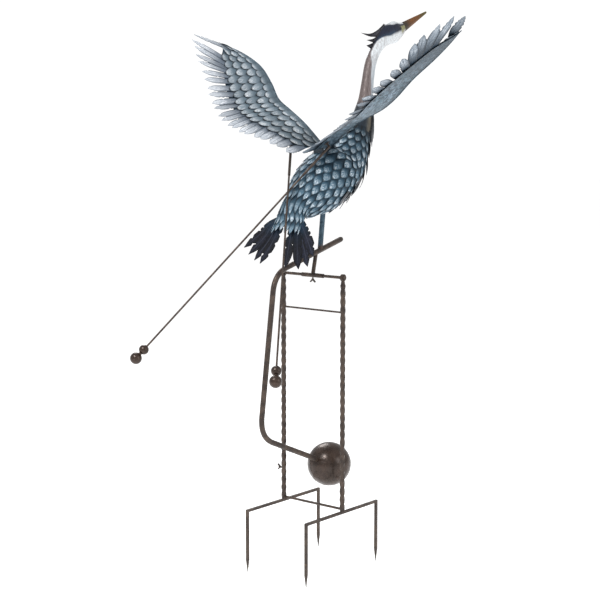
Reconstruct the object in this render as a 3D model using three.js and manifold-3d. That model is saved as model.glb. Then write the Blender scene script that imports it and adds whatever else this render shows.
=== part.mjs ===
// Kinetic heron garden ornament: a painted sheet-metal heron on a rocking tube with a ball weight.
// Millimetres, +Z up. The bird looks along +Y and the pivot bar runs along X.
// The origin is on the ground between the two poles, level with the undersides of the fork bars.

import * as THREE from 'three';
import * as BufferGeometryUtils from 'three/addons/utils/BufferGeometryUtils.js';
import Module from 'manifold-3d';

const wasm = await Module();
wasm.setup();

// Driving dimensions of the stand
const CLEAR = 0.3; // gap kept between pieces that touch
const POLE_X = 120;
const BAR = 8;
const FORK_LENGTH = 361;
const PRONG_TIP_Z = -196;
const PRONG_TAPER = 42;
const POLE_SIDE = 12.4;
const POLE_TURN = 104; // height of one full turn of the twist
const POLE_RINGS_A_TURN = 7;
const PIVOT_Z = 744;
const EYE_RADIUS = 11;
const EYE_WIDTH = 10;
const EYE_BORE = 5.4;
const POLE_TOP_Z = PIVOT_Z - EYE_RADIUS + 2.5;
const LOWER_ROD = { radius: 4, z: 15 };
const UPPER_ROD = { radius: 3, z: 636 };
const POLE_SCREW_Z = 110;

// Driving dimensions of the rocker
const PIVOT_RADIUS = 4.75;
const SLEEVE = { radius: 6.8, bore: 5.3, length: 86 };
const POST_RADIUS = 6.25;
const POST_TOP = [16, 814.5];
const TUBE_RADIUS = 8.5;
const TUBE_BEND = 85;
const TUBE_CORNERS = [[139, 847], [-181.4, 762.4], [-250.5, 268.5]];
const BALL = { y: 84, z: 126, radius: 70.5 };
const LEG = { radius: 8.2, foot: [35.6, 819.5], top: [53, 960] };

// The heron's body, neck and head: y, z, half width, half depth along its middle line
const BIRD_STATIONS = [
  [-112, 915, 54, 13], [-91, 948, 49, 30], [-49, 972, 62, 53], [16, 1012, 83, 82], [76, 1048, 87, 87],
  [132, 1071, 76, 77], [188, 1132, 57, 58], [229, 1190, 40, 41], [252, 1248, 29, 30], [266, 1290, 23, 23.5],
  [278, 1352, 19.5, 19.5], [291, 1403, 18.5, 18.5], [315, 1446, 18.5, 19.5],
  [347, 1479, 20, 25], [382, 1500, 22, 33],
  [413, 1510, 22, 36], [443, 1518.5, 17, 26], [464, 1527.5, 12, 18],
];
const BIRD_SIDES = 18;
const SCALE_ROWS = 8;
const SCALE_STEP = 2;
const SCALE_LAP = 0.22; // half the height of a scale's point, as a share of its row
const NECK_RINGS = 11;
const WALL = 1.7;
const RUMP_WALL = 3.5; // further thickness of the wall where the rump narrows
const PLUME_COUNT = 11;
const BILL_TIP = [603, 1588];

// Tail fan, on a plane through the apex: each feather's angle from the middle and its length
const TAIL = {
  apex: [0, -88, 956], slope: 60.3, root: [44, 36], knee: [62, 84], thick: 1.2, ridge: 1.2, slot: 92,
};
const TAIL_FEATHERS = [
  [-45.5, 203], [-35, 201], [-25, 201], [-16.5, 200], [13.5, 203], [26.5, 223], [34.5, 228], [42, 206],
];

// The right wing lies on a plane of its own: s along the span, c towards the trailing edge, h above it
const WING_ORIGIN = new THREE.Vector3(40, 76, 1161.5);
const SPAN = new THREE.Vector3(0.8235, -0.0638, 0.5638).normalize();
const CHORD = new THREE.Vector3(0.0594, -0.978, -0.1975).normalize();
const UPPER = new THREE.Vector3().crossVectors(CHORD, SPAN).normalize();
const LEADING_EDGE = [
  [-31, 4, 0], [78, -16, 4], [171, -44, -12], [230, -49, -13],
  [300, -74, 0], [385, -99, 6], [469, -88, 7], [541, -52, 5],
];
const COVERT_EDGE = [
  [-33, 98, 6], [78, 124, -1], [171, 142, -13], [225, 139, -16],
  [287, 116, -8], [370, 68, 1], [455, 14, 8], [553, -40, 5],
];
const FEATHER_TIPS = [
  [-32, 169, 12], [64, 178, -6], [141, 209, -20], [206, 224, -23],
  [280, 210, -12], [378, 154, 0], [487, 96, 12], [612, 2, 1],
];
const WING_FEATHERS = 16;
const COVERT_ROWS = 3;
const SHEET = 0.6;
const COVERT_STEP = 1;
const NOTCH = { root: 13, tip: 44 };
const CURL = { right: 19, left: 2 }; // how far the outer feather tips are bent up

// Wing hinges, on two plates that stand on the back
const HINGE_AXIS = new THREE.Vector3(0, 0.98, 0.2).normalize();
const HINGE_UP = new THREE.Vector3().crossVectors(new THREE.Vector3(1, 0, 0), HINGE_AXIS).normalize();
const HINGE = new THREE.Vector3(14, 78, 1147.5);
const BARREL = { length: 50, radius: 4.5, journal: 2.6, journalLength: 5, bore: 3.15 };
const PLATE = { thick: 4, halfWidth: 19.5, depth: 62 };

// Balance rods of the wings; the right wing's rod reaches down and across to the left
const ROD = { radius: 3, socket: 4.4, socketLength: 26, foot: 9 };
const ROD_LOW = new THREE.Vector3(-272.8, -479, 538);
const ROD_RUN = new THREE.Vector3(263.8, 359.9, 469.2);
const ROD_END = 1.29;
const ROD_APART = 10.5; // each rod stands this far off the middle place, so that the two pass each other
const WEIGHTS = { small: 15, end: 18, neck: 5, reach: 33 };

const COLOURS = {
  bronze: { color: 0x4b413c, roughness: 0.55, metalness: 0.7 },
  slate: { color: 0x3f5f73, roughness: 0.5, metalness: 0.55 },
  wing: { color: 0x7890a0, roughness: 0.45, metalness: 0.55 },
  tail: { color: 0x262b3a, roughness: 0.5, metalness: 0.5 },
  bill: { color: 0xa8602c, roughness: 0.4, metalness: 0.3 },
  crest: { color: 0x101218, roughness: 0.5, metalness: 0.4 },
};

const group = new THREE.Group();

// Adds a named piece with its own material
function add(name, geometry, look) {
  const mesh = new THREE.Mesh(geometry, new THREE.MeshStandardMaterial(COLOURS[look]));
  mesh.name = name;
  group.add(mesh);
  return mesh;
}

// Booleans on closed meshes
function toSolid(geometry) {
  const plain = geometry.clone();
  plain.deleteAttribute('normal');
  plain.deleteAttribute('uv');
  const merged = geometry.userData.joined ? plain : BufferGeometryUtils.mergeVertices(plain, 1e-3);
  const mesh = new wasm.Mesh({
    numProp: 3,
    vertProperties: new Float32Array(merged.attributes.position.array),
    triVerts: new Uint32Array(merged.index.array),
  });
  return new wasm.Manifold(mesh);
}

function toGeometry(solid) {
  const mesh = solid.getMesh();
  const geometry = new THREE.BufferGeometry();
  geometry.setAttribute('position', new THREE.BufferAttribute(new Float32Array(mesh.vertProperties), 3));
  geometry.setIndex(Array.from(mesh.triVerts));
  geometry.computeVertexNormals();
  geometry.userData.joined = true;
  return geometry;
}

function unite(...geometries) {
  return toGeometry(geometries.map(toSolid).reduce((sum, next) => sum.add(next)));
}

function cut(geometry, ...tools) {
  return toGeometry(tools.map(toSolid).reduce((rest, tool) => rest.subtract(tool), toSolid(geometry)));
}

// Closed body through rings of equal length, with both ends filled flat
function loft(rings) {
  const sides = rings[0].length;
  const points = rings.flat();
  const faces = [];
  for (let i = 0; i < rings.length - 1; i += 1) {
    for (let j = 0; j < sides; j += 1) {
      const next = (j + 1) % sides;
      const [a, b, c, d] = [i * sides + j, i * sides + next, (i + 1) * sides + j, (i + 1) * sides + next];
      faces.push(a, b, c, b, d, c);
    }
  }
  const last = points.length - sides;
  for (const [a, b, c] of fillRing(rings[0])) faces.push(a, c, b);
  for (const [a, b, c] of fillRing(rings[rings.length - 1])) faces.push(last + a, last + b, last + c);
  const geometry = new THREE.BufferGeometry().setFromPoints(points);
  geometry.setIndex(signedVolume(points, faces) < 0 ? faces.reverse() : faces);
  geometry.computeVertexNormals();
  return geometry;
}

// Triangles that fill one flat ring, in the ring's own turning direction
function fillRing(ring) {
  const middle = ring.reduce((sum, p) => sum.add(p), new THREE.Vector3()).divideScalar(ring.length);
  const normal = new THREE.Vector3();
  ring.forEach((p, i) => {
    const q = ring[(i + 1) % ring.length];
    normal.add(new THREE.Vector3().crossVectors(p.clone().sub(middle), q.clone().sub(middle)));
  });
  normal.normalize();
  const u = new THREE.Vector3(1, 0, 0);
  if (Math.abs(normal.x) > 0.8) u.set(0, 1, 0);
  u.addScaledVector(normal, -u.dot(normal)).normalize();
  const v = new THREE.Vector3().crossVectors(normal, u);
  const flat = ring.map((p) => new THREE.Vector2(p.dot(u), p.dot(v)));
  return THREE.ShapeUtils.triangulateShape(flat, []).map(([a, b, c]) => {
    const turn = flat[b].clone().sub(flat[a]).cross(flat[c].clone().sub(flat[a]));
    return turn > 0 ? [a, b, c] : [a, c, b];
  });
}

function signedVolume(points, faces) {
  let volume = 0;
  for (let i = 0; i < faces.length; i += 3) {
    const [a, b, c] = [points[faces[i]], points[faces[i + 1]], points[faces[i + 2]]];
    volume += a.dot(new THREE.Vector3().crossVectors(b, c)) / 6;
  }
  return volume;
}

// Rings of a round or oval tube along stations of { at, along, wide, deep }; wide lies along side
function ovalRing({ at, along, wide, deep }, sides, side = new THREE.Vector3(1, 0, 0)) {
  const across = side.clone().addScaledVector(along, -side.dot(along)).normalize();
  const up = new THREE.Vector3().crossVectors(along, across);
  return Array.from({ length: sides }, (_, j) => {
    const angle = (2 * Math.PI * (j + 0.5)) / sides;
    const outward = across.clone().multiplyScalar(wide * Math.sin(angle));
    return outward.addScaledVector(up, deep * Math.cos(angle)).add(at);
  });
}

// Round rod from one point to another
function rod(from, to, radius, sides = 12) {
  const along = to.clone().sub(from).normalize();
  const side = Math.abs(along.x) > 0.7 ? new THREE.Vector3(0, 0, 1) : new THREE.Vector3(1, 0, 0);
  return loft([from, to].map((at) => ovalRing({ at, along, wide: radius, deep: radius }, sides, side)));
}

function inPlane(y, z, x = 0) {
  return new THREE.Vector3(x, y, z);
}

function mirrored(geometry) {
  const copy = geometry.clone().scale(-1, 1, 1);
  copy.setIndex(Array.from(copy.index.array).reverse());
  copy.computeVertexNormals();
  return copy;
}

function box(size, at) {
  return new THREE.BoxGeometry(size[0], size[1], size[2]).translate(at[0], at[1], at[2]);
}

// Stand: each fork is a square bar along Y with a pointed prong at both ends
function forkGeometry(x) {
  const prongY = FORK_LENGTH / 2 - BAR / 2;
  const shankBottom = PRONG_TIP_Z + PRONG_TAPER;
  const parts = [box([BAR, FORK_LENGTH, BAR], [x, 0, BAR / 2])];
  for (const y of [-prongY, prongY]) {
    parts.push(box([BAR, BAR, -shankBottom + 1], [x, y, (shankBottom + 1) / 2]));
    const point = new THREE.CylinderGeometry(BAR / Math.SQRT2, 0.6, PRONG_TAPER, 4, 1).rotateY(Math.PI / 4);
    parts.push(point.rotateX(Math.PI / 2).translate(x, y, shankBottom - PRONG_TAPER / 2 + 0.01));
  }
  return unite(...parts);
}

// A pole is a twisted square rod with a forged eye on top; the eye's bore runs along X
function poleGeometry(x) {
  const bottom = BAR + CLEAR;
  const steps = Math.round(((POLE_TOP_Z - bottom) / POLE_TURN) * POLE_RINGS_A_TURN);
  const rings = Array.from({ length: steps + 1 }, (_, i) => {
    const z = bottom + ((POLE_TOP_Z - bottom) * i) / steps;
    const twist = (2 * Math.PI * (z - bottom)) / POLE_TURN;
    return [0, 1, 2, 3].map((corner) => {
      const angle = twist + (corner * Math.PI) / 2;
      const reach = (POLE_SIDE / Math.SQRT2) * (i > steps - 2 ? 0.8 : 1);
      return new THREE.Vector3(x + reach * Math.cos(angle), reach * Math.sin(angle), z);
    });
  });
  const half = EYE_WIDTH / 2;
  const eye = rod(inPlane(0, PIVOT_Z, x - half), inPlane(0, PIVOT_Z, x + half), EYE_RADIUS);
  const bore = rod(inPlane(0, PIVOT_Z, x - EYE_WIDTH), inPlane(0, PIVOT_Z, x + EYE_WIDTH), EYE_BORE);
  return cut(unite(loft(rings), eye), bore);
}

// Wing screw: a shank along +X from the origin, a hub and two flat wings
function wingScrew(shank, hub) {
  const end = shank + hub;
  const parts = [
    rod(inPlane(0, 0, 0), inPlane(0, 0, shank + 1), 2.4, 8),
    rod(inPlane(0, 0, shank), inPlane(0, 0, end), 4.2, 8),
  ];
  for (const turn of [-1, 1]) {
    const wing = box([11, 7, 2.4], [4.5, 0, 0]).rotateY(turn * 0.75).translate(end - 2.5, 0, -turn * 2.5);
    parts.push(wing);
  }
  return unite(...parts);
}

const poleInside = POLE_X - POLE_SIDE / Math.SQRT2 - CLEAR;
for (const [side, name] of [[-1, 'left'], [1, 'right']]) {
  add(`fork_${name}`, forkGeometry(side * POLE_X), 'bronze');
  add(`pole_${name}`, poleGeometry(side * POLE_X), 'bronze');
}
for (const [name, bar] of [['cross_rod_lower', LOWER_ROD], ['cross_rod_upper', UPPER_ROD]]) {
  add(name, rod(inPlane(0, bar.z, -poleInside), inPlane(0, bar.z, poleInside), bar.radius, 8), 'bronze');
}
const poleOutside = poleInside + POLE_SIDE * Math.SQRT2 + 2 * CLEAR;
const poleScrew = wingScrew(5, 6).rotateZ(Math.PI).translate(-poleOutside, 0, POLE_SCREW_Z);
add('pole_screw_left', poleScrew, 'bronze');

// Rocker tube: straight runs with a round bend at each corner, from its front end to the ball
function tubeGeometry(radius) {
  const ballCentre = new THREE.Vector2(BALL.y, BALL.z);
  const corners = TUBE_CORNERS.map(([y, z]) => new THREE.Vector2(y, z));
  const inward = ballCentre.clone().sub(corners[2]).normalize();
  corners.push(ballCentre.clone().addScaledVector(inward, -(BALL.radius + CLEAR)));
  const path = new THREE.CurvePath();
  let start = corners[0];
  for (let i = 1; i < corners.length - 1; i += 1) {
    const before = corners[i].clone().sub(corners[i - 1]).normalize();
    const after = corners[i + 1].clone().sub(corners[i]).normalize();
    const turn = Math.acos(before.dot(after));
    const set = TUBE_BEND * Math.tan(turn / 2);
    const enter = corners[i].clone().addScaledVector(before, -set);
    const leave = corners[i].clone().addScaledVector(after, set);
    path.add(new THREE.LineCurve(start, enter));
    path.add(new THREE.QuadraticBezierCurve(enter, corners[i], leave));
    start = leave;
  }
  path.add(new THREE.LineCurve(start, corners[corners.length - 1]));
  const ends = [0, 1];
  const bendStops = Array.from({ length: 7 }, (_, k) => (k + 1) / 8);
  const rings = [];
  const addRing = (point, tangent, wide) => {
    const along = inPlane(tangent.x, tangent.y);
    rings.push(ovalRing({ at: inPlane(point.x, point.y), along, wide, deep: wide }, 8));
  };
  const first = path.curves[0].getTangent(0);
  for (const [back, share] of [[-0.9, 0.35], [-0.65, 0.75]]) {
    addRing(corners[0].clone().addScaledVector(first, back * radius), first, radius * share);
  }
  path.curves.forEach((curve) => {
    for (const t of curve.isLineCurve ? ends : bendStops) {
      addRing(curve.getPoint(t), curve.getTangent(t), radius);
    }
  });
  return loft(rings);
}

add('rocker_tube', tubeGeometry(TUBE_RADIUS), 'bronze');
const wideTube = tubeGeometry(TUBE_RADIUS + CLEAR);
const ball = new THREE.SphereGeometry(BALL.radius, 18, 10).rotateX(Math.PI / 2).translate(0, BALL.y, BALL.z);
add('ball_weight', toGeometry(toSolid(ball)), 'bronze');

const barEnd = POLE_X + EYE_WIDTH / 2;
const pivotBar = unite(
  rod(inPlane(0, PIVOT_Z, -barEnd - 2.5), inPlane(0, PIVOT_Z, barEnd + 2.5), PIVOT_RADIUS),
  rod(inPlane(0, PIVOT_Z, barEnd + 0.5), inPlane(0, PIVOT_Z, barEnd + 3), 7.5),
  rod(inPlane(0, PIVOT_Z, -barEnd - 3), inPlane(0, PIVOT_Z, -barEnd - 0.5), 7.5),
);
add('pivot_bar', pivotBar, 'bronze');
const sleeveEnd = SLEEVE.length / 2;
const post = cut(
  unite(
    rod(inPlane(0, PIVOT_Z), inPlane(...POST_TOP), POST_RADIUS),
    rod(inPlane(0, PIVOT_Z, -sleeveEnd), inPlane(0, PIVOT_Z, sleeveEnd), SLEEVE.radius),
  ),
  rod(inPlane(0, PIVOT_Z, -sleeveEnd - 5), inPlane(0, PIVOT_Z, sleeveEnd + 5), SLEEVE.bore),
  wideTube,
);
add('post', post, 'bronze');
const sleeveUnder = PIVOT_Z - SLEEVE.radius - CLEAR;
add('sleeve_screw', wingScrew(4, 6).rotateY(Math.PI / 2).translate(0, 0, sleeveUnder), 'bronze');

// Heron: one smooth line of ovals from the rump to the bill
const birdLine = new THREE.CatmullRomCurve3(BIRD_STATIONS.map(([y, z]) => inPlane(y, z)));
const birdSize = new THREE.CatmullRomCurve3(BIRD_STATIONS.map(([, , wide, deep]) => inPlane(deep, 0, wide)));
const NECK_START = 8.3 / (BIRD_STATIONS.length - 1);

function birdStation(t, grow = 0) {
  const size = birdSize.getPoint(t);
  const [at, along] = [birdLine.getPoint(t), birdLine.getTangent(t)];
  return { at, along, wide: size.x + grow, deep: size.y + grow };
}

// Rings of the scaled body and the plain neck. The rows of scales lap towards the rump: each row's
// edge runs up and down from side to side, and steps holds the slide and lift of each ring along it
function birdRings(steps, grow, neckRings) {
  const rings = [ovalRing(birdStation(0, grow), BIRD_SIDES)];
  const rowLength = NECK_START / SCALE_ROWS;
  for (let row = 1; row <= SCALE_ROWS; row += 1) {
    const inset = grow < 0 && row < 3 ? RUMP_WALL : 0;
    for (const [slide, lift] of steps) {
      rings.push(Array.from({ length: BIRD_SIDES }, (_, j) => {
        const tip = (j + row) % 2 === 0 ? -SCALE_LAP : SCALE_LAP;
        const station = birdStation((row - 0.35 + tip + slide) * rowLength, lift - inset);
        return ovalRing(station, BIRD_SIDES)[j];
      }));
    }
  }
  for (let i = 1; i <= neckRings; i += 1) {
    rings.push(ovalRing(birdStation(NECK_START + ((1 - NECK_START) * i) / NECK_RINGS, grow), BIRD_SIDES));
  }
  return rings;
}

// A plume is a thin pointed strip, rooted in the skin of the breast and free at its lower tip
function plumeGeometry(index) {
  const share = index / (PLUME_COUNT - 1);
  const t = THREE.MathUtils.lerp(0.52, 0.32, share);
  const aside = (index % 3) - 1;
  const root = birdStation(t, -1);
  const tip = birdStation(t - 0.05 + 0.01 * (index % 2), 5);
  const onSkin = (station, wide) => {
    const across = new THREE.Vector3(1, 0, 0);
    const breast = new THREE.Vector3().crossVectors(station.along, across);
    const angle = aside * 0.34 + wide;
    return station.at.clone().addScaledVector(across, station.wide * Math.sin(angle))
      .addScaledVector(breast, station.deep * Math.cos(angle));
  };
  const half = 0.085;
  const thick = 1.4;
  const strip = (station, spread) => {
    const [left, right] = [onSkin(station, -spread), onSkin(station, spread)];
    const out = left.clone().add(right).multiplyScalar(0.5).sub(station.at).normalize().multiplyScalar(thick);
    return [left, right, right.clone().add(out), left.clone().add(out)];
  };
  return loft([strip(root, half), strip(tip, 0.02)]);
}

const cavityRings = birdRings([[0, -WALL]], -WALL, NECK_RINGS - 2);
const outward = birdStation(0).along.clone().multiplyScalar(-5);
cavityRings[0].forEach((point) => point.add(outward));
const plumes = Array.from({ length: PLUME_COUNT }, (_, i) => plumeGeometry(i));
const skin = loft(birdRings([[-0.1, 0], [0.1, SCALE_STEP]], 0, NECK_RINGS));
add('bird_body', cut(unite(skin, ...plumes), loft(cavityRings)), 'slate');

const birdForm = loft(birdRings([[-0.1, CLEAR], [0.1, SCALE_STEP + CLEAR]], CLEAR, NECK_RINGS));
const legLine = [inPlane(...LEG.foot), inPlane(...LEG.top)];
add('leg', cut(rod(legLine[0], legLine[1], LEG.radius), wideTube, birdForm), 'slate');

const headEnd = birdStation(1);
const billBase = headEnd.at.clone().addScaledVector(headEnd.along, CLEAR);
const billTip = inPlane(...BILL_TIP);
const billRings = [0, 0.35, 0.7, 0.93, 1].map((share, i) => {
  const at = billBase.clone().lerp(billTip, share);
  const size = [1, 0.7, 0.36, 0.14, 0.04][i];
  const along = i === 0 ? headEnd.along : billTip.clone().sub(billBase).normalize();
  return ovalRing({ at, along, wide: 11 * size, deep: 17 * size }, 10);
});
add('bill', loft(billRings), 'bill');

// Crest: three curved plumes cut from sheet, joined along the nape
function plumeShape(points) {
  const shape = new THREE.Shape();
  shape.moveTo(...points[0]);
  shape.splineThru(points.slice(1).map((p) => new THREE.Vector2(...p)));
  return new THREE.ExtrudeGeometry(shape, { depth: 3, bevelEnabled: false, curveSegments: 3 });
}

const crestParts = [
  [[366, 1537], [330, 1514], [290, 1500], [238, 1500], [290, 1490], [332, 1494], [372, 1512]],
  [[350, 1520], [318, 1488], [267, 1478], [312, 1474], [352, 1494]],
  [[345, 1508], [318, 1478], [270, 1461], [306, 1451], [338, 1470], [358, 1494]],
];
const standing = new THREE.Matrix4().makeBasis(inPlane(1, 0), inPlane(0, 1), inPlane(0, 0, 1));
const crest = unite(...crestParts.map((points) => plumeShape(points).applyMatrix4(standing)));
add('crest', cut(crest.translate(-1.5, 0, 0), birdForm), 'crest');

// Tail: a fan of feathers with a ridge down each, parted by a slot behind the middle
function tailGeometry() {
  const slope = THREE.MathUtils.degToRad(TAIL.slope);
  const down = inPlane(-Math.cos(slope), -Math.sin(slope));
  const out = inPlane(-Math.sin(slope), Math.cos(slope));
  const apex = new THREE.Vector3(...TAIL.apex);
  const last = TAIL_FEATHERS.length - 1;
  const columns = [];
  TAIL_FEATHERS.forEach(([middle, reach], i) => {
    const before = middle - TAIL_FEATHERS[Math.max(i - 1, 0)][0];
    const after = TAIL_FEATHERS[Math.min(i + 1, last)][0] - middle;
    const halfBefore = before > 20 || i === 0 ? 4.5 : before / 2;
    const halfAfter = after > 20 || i === last ? 4.5 : after / 2;
    if (i === 0 || before > 20) columns.push([middle - halfBefore, reach - 34, 0]);
    columns.push([middle - 0.5 * halfBefore, reach - 12, 0.4], [middle, reach, 1]);
    columns.push([middle + 0.5 * halfAfter, reach - 12, 0.4], [middle + halfAfter, reach - 30, 0]);
    if (after > 20) {
      columns.push([middle + halfAfter + 4, TAIL.slot, 0], [middle + after - 8.5, TAIL.slot, 0]);
    }
  });
  const widest = columns[columns.length - 1][0];
  const place = ([angle, reach], stop, height) => {
    const turn = THREE.MathUtils.degToRad(angle);
    const side = angle / widest;
    const stops = [
      [TAIL.root[0], TAIL.root[1] * side],
      [TAIL.knee[0], TAIL.knee[1] * side],
      [reach * Math.cos(turn), reach * Math.sin(turn)],
    ];
    const [along, across] = stops[stop];
    return apex.clone().add(inPlane(0, 0, across)).addScaledVector(down, along).addScaledVector(out, height);
  };
  return loft(columns.map((column) => {
    const ridge = TAIL.ridge * column[2];
    const top = [0, 1, 2].map((stop) => place(column, stop, TAIL.thick + [0, ridge + 0.2, ridge][stop]));
    const bottom = [2, 1, 0].map((stop) => place(column, stop, [0, -0.2, 0][stop]));
    return [...top, ...bottom];
  }));
}

add('tail', tailGeometry(), 'tail');

// Right wing sheet: one column of points after another, from the body out to the wing tip
function wingPoint(s, c, h) {
  return WING_ORIGIN.clone().addScaledVector(SPAN, s).addScaledVector(CHORD, c).addScaledVector(UPPER, h);
}

function wingSheet(curl) {
  const curve = (points) => new THREE.CatmullRomCurve3(points.map((p) => new THREE.Vector3(...p)));
  const [lead, covert, tips] = [LEADING_EDGE, COVERT_EDGE, FEATHER_TIPS].map(curve);
  const columnCount = WING_FEATHERS * 4;
  const slack = [-1, 0.35, 1, 0.35]; // scallop of a covert across its four columns
  const columns = [];
  for (let j = 0; j <= columnCount; j += 1) {
    const v = j / columnCount;
    const [front, rear, tip] = [lead.getPoint(v), covert.getPoint(v), tips.getPoint(v)];
    tip.z += curl * THREE.MathUtils.smoothstep(v, 0.72, 0.82) * (1 - THREE.MathUtils.smoothstep(v, 0.96, 1));
    const depth = j === columnCount ? 0 : [1, 0.3, 0, 0.3][j % 4]; // the last column is the wing's own tip
    const notch = THREE.MathUtils.lerp(NOTCH.root, NOTCH.tip, v) * depth;
    const end = tip.clone().addScaledVector(tip.clone().sub(rear).normalize(), -notch);
    const at = (p, lift) => wingPoint(p.x, p.y, p.z + lift);
    const top = [at(front, SHEET)];
    for (let row = 1; row <= COVERT_ROWS; row += 1) {
      const phase = (j + (row % 2) * 2) % 4;
      const chord = rear.clone().sub(front);
      const share = row / COVERT_ROWS + Math.min(6.5 / chord.length(), 0.1) * slack[phase];
      const step = Math.min(1.2 / chord.length(), 0.03);
      const lift = COVERT_STEP * (phase % 2 ? 0.9 : phase ? 1.15 : 0.7);
      top.push(at(front.clone().addScaledVector(chord, share), SHEET + lift));
      top.push(at(front.clone().addScaledVector(chord, share + step), SHEET + 0.12));
    }
    top.push(at(end, SHEET + (j % 4 === 2 ? 0.7 : 0.1)));
    const bottom = [at(end, 0), at(rear, -0.15), at(front, 0)];
    columns.push([...top, ...bottom]);
  }
  return loft(columns);
}

function barrelGeometry() {
  const back = HINGE.clone().addScaledVector(HINGE_AXIS, -BARREL.length);
  const out = HINGE_AXIS.clone().multiplyScalar(BARREL.journalLength);
  return unite(
    rod(back, HINGE, BARREL.radius),
    rod(back.clone().sub(out), HINGE.clone().add(out), BARREL.journal),
  );
}

// The space that a bracket plate needs inside the wing's root edge
function plateSpace(place, grow, topRadius) {
  const shape = new THREE.Shape();
  const half = PLATE.halfWidth + grow;
  shape.moveTo(-half, -PLATE.depth);
  shape.lineTo(half, -PLATE.depth);
  shape.lineTo(half, 0);
  shape.absarc(HINGE.x, 0, topRadius, 0, Math.PI / 2, false);
  shape.lineTo(-HINGE.x, topRadius);
  shape.absarc(-HINGE.x, 0, topRadius, Math.PI / 2, Math.PI, false);
  const thick = PLATE.thick + 2 * grow;
  const plate = new THREE.ExtrudeGeometry(shape, { depth: thick, bevelEnabled: false, curveSegments: 3 });
  const away = HINGE_AXIS.clone().negate();
  const basis = new THREE.Matrix4().makeBasis(inPlane(0, 0, 1), HINGE_UP, away);
  const origin = inPlane(HINGE.y, HINGE.z).addScaledVector(away, place - grow);
  return plate.applyMatrix4(basis).translate(origin.x, origin.y, origin.z);
}

const plateRadius = PLATE.halfWidth - HINGE.x;
const plates = { front: -CLEAR - 0.3 - PLATE.thick, rear: BARREL.length + CLEAR + 0.3 };
for (const [name, place] of Object.entries(plates)) {
  const bores = [-1, 1].map((side) => {
    const centre = new THREE.Vector3(side * HINGE.x, HINGE.y, HINGE.z).addScaledVector(HINGE_AXIS, -place);
    const reach = HINGE_AXIS.clone().multiplyScalar(2 * PLATE.thick);
    return rod(centre.clone().sub(reach), centre.clone().add(reach), BARREL.bore, 8);
  });
  add(`wing_bracket_${name}`, cut(plateSpace(place, 0, plateRadius), ...bores, birdForm), 'bronze');
}

const slot = plateSpace(plates.rear, 1, plateRadius + 4);
const wing = (curl) => unite(cut(wingSheet(curl), slot), barrelGeometry());
add('wing_right', wing(CURL.right), 'wing');
add('wing_left', mirrored(wing(CURL.left)), 'wing');

// Balance rod: straight from the weights, then a short post up to a round foot under the sheet
function rodGeometry(shift) {
  const low = ROD_LOW.clone().add(inPlane(shift, 0));
  const along = ROD_RUN.clone().normalize();
  const start = low.clone().addScaledVector(along, WEIGHTS.small + CLEAR);
  const end = low.clone().addScaledVector(ROD_RUN, ROD_END);
  const toSheet = end.clone().sub(WING_ORIGIN).dot(UPPER);
  const foot = end.clone().addScaledVector(UPPER, -toSheet - CLEAR);
  const socketStart = end.clone().addScaledVector(along, -ROD.socketLength);
  return unite(
    rod(start, end, ROD.radius, 8),
    rod(socketStart, end.clone().addScaledVector(along, 3), ROD.socket, 8),
    rod(end, foot, ROD.radius + 0.5, 8),
    rod(foot.clone().addScaledVector(UPPER, -2.4), foot, ROD.foot, 8),
  );
}

// Small ball, neck and end ball, turned in one piece
function weightGeometry(shift) {
  const apart = WEIGHTS.reach + 2;
  const profile = [];
  const arc = (radius, middle, from, to, steps) => {
    for (let i = 0; i <= steps; i += 1) {
      const angle = THREE.MathUtils.lerp(from, to, i / steps);
      const out = Math.max(0, radius * Math.sin(angle));
      profile.push(new THREE.Vector2(out, middle + radius * Math.cos(angle)));
    }
  };
  const neckAt = (radius) => Math.asin(WEIGHTS.neck / radius);
  arc(WEIGHTS.end, -apart, Math.PI, neckAt(WEIGHTS.end), 6);
  arc(WEIGHTS.small, 0, Math.PI - neckAt(WEIGHTS.small), 0, 5);
  const turned = new THREE.LatheGeometry(profile, 10);
  const low = ROD_LOW.clone().add(inPlane(shift, 0));
  const toAxis = new THREE.Quaternion().setFromUnitVectors(inPlane(1, 0), ROD_RUN.clone().normalize());
  return toGeometry(toSolid(turned.applyQuaternion(toAxis).translate(low.x, low.y, low.z)));
}

for (const [name, shift, hand] of [['right', ROD_APART, (g) => g], ['left', -ROD_APART, mirrored]]) {
  add(`balance_rod_${name}`, hand(rodGeometry(shift)), 'bronze');
  add(`balance_weight_${name}`, hand(weightGeometry(shift)), 'bronze');
}

export default group;
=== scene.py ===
# %% [markdown]
# # A kinetic heron garden ornament
# The real object is a painted sheet-metal heron on a rocking tube with a ball weight, hung between two
# twisted poles. This lesson dresses a measured frame of it: the frame says where everything is, and each
# cell makes one piece that a metalworker would make, from bmesh operators. Lengths are typed in
# millimetres, as on a workshop drawing, and turned into metres by MM.

# %% Load the frame
import bisect
import math
import random

import bmesh
import bpy
from mathutils import Matrix, Vector


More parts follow.
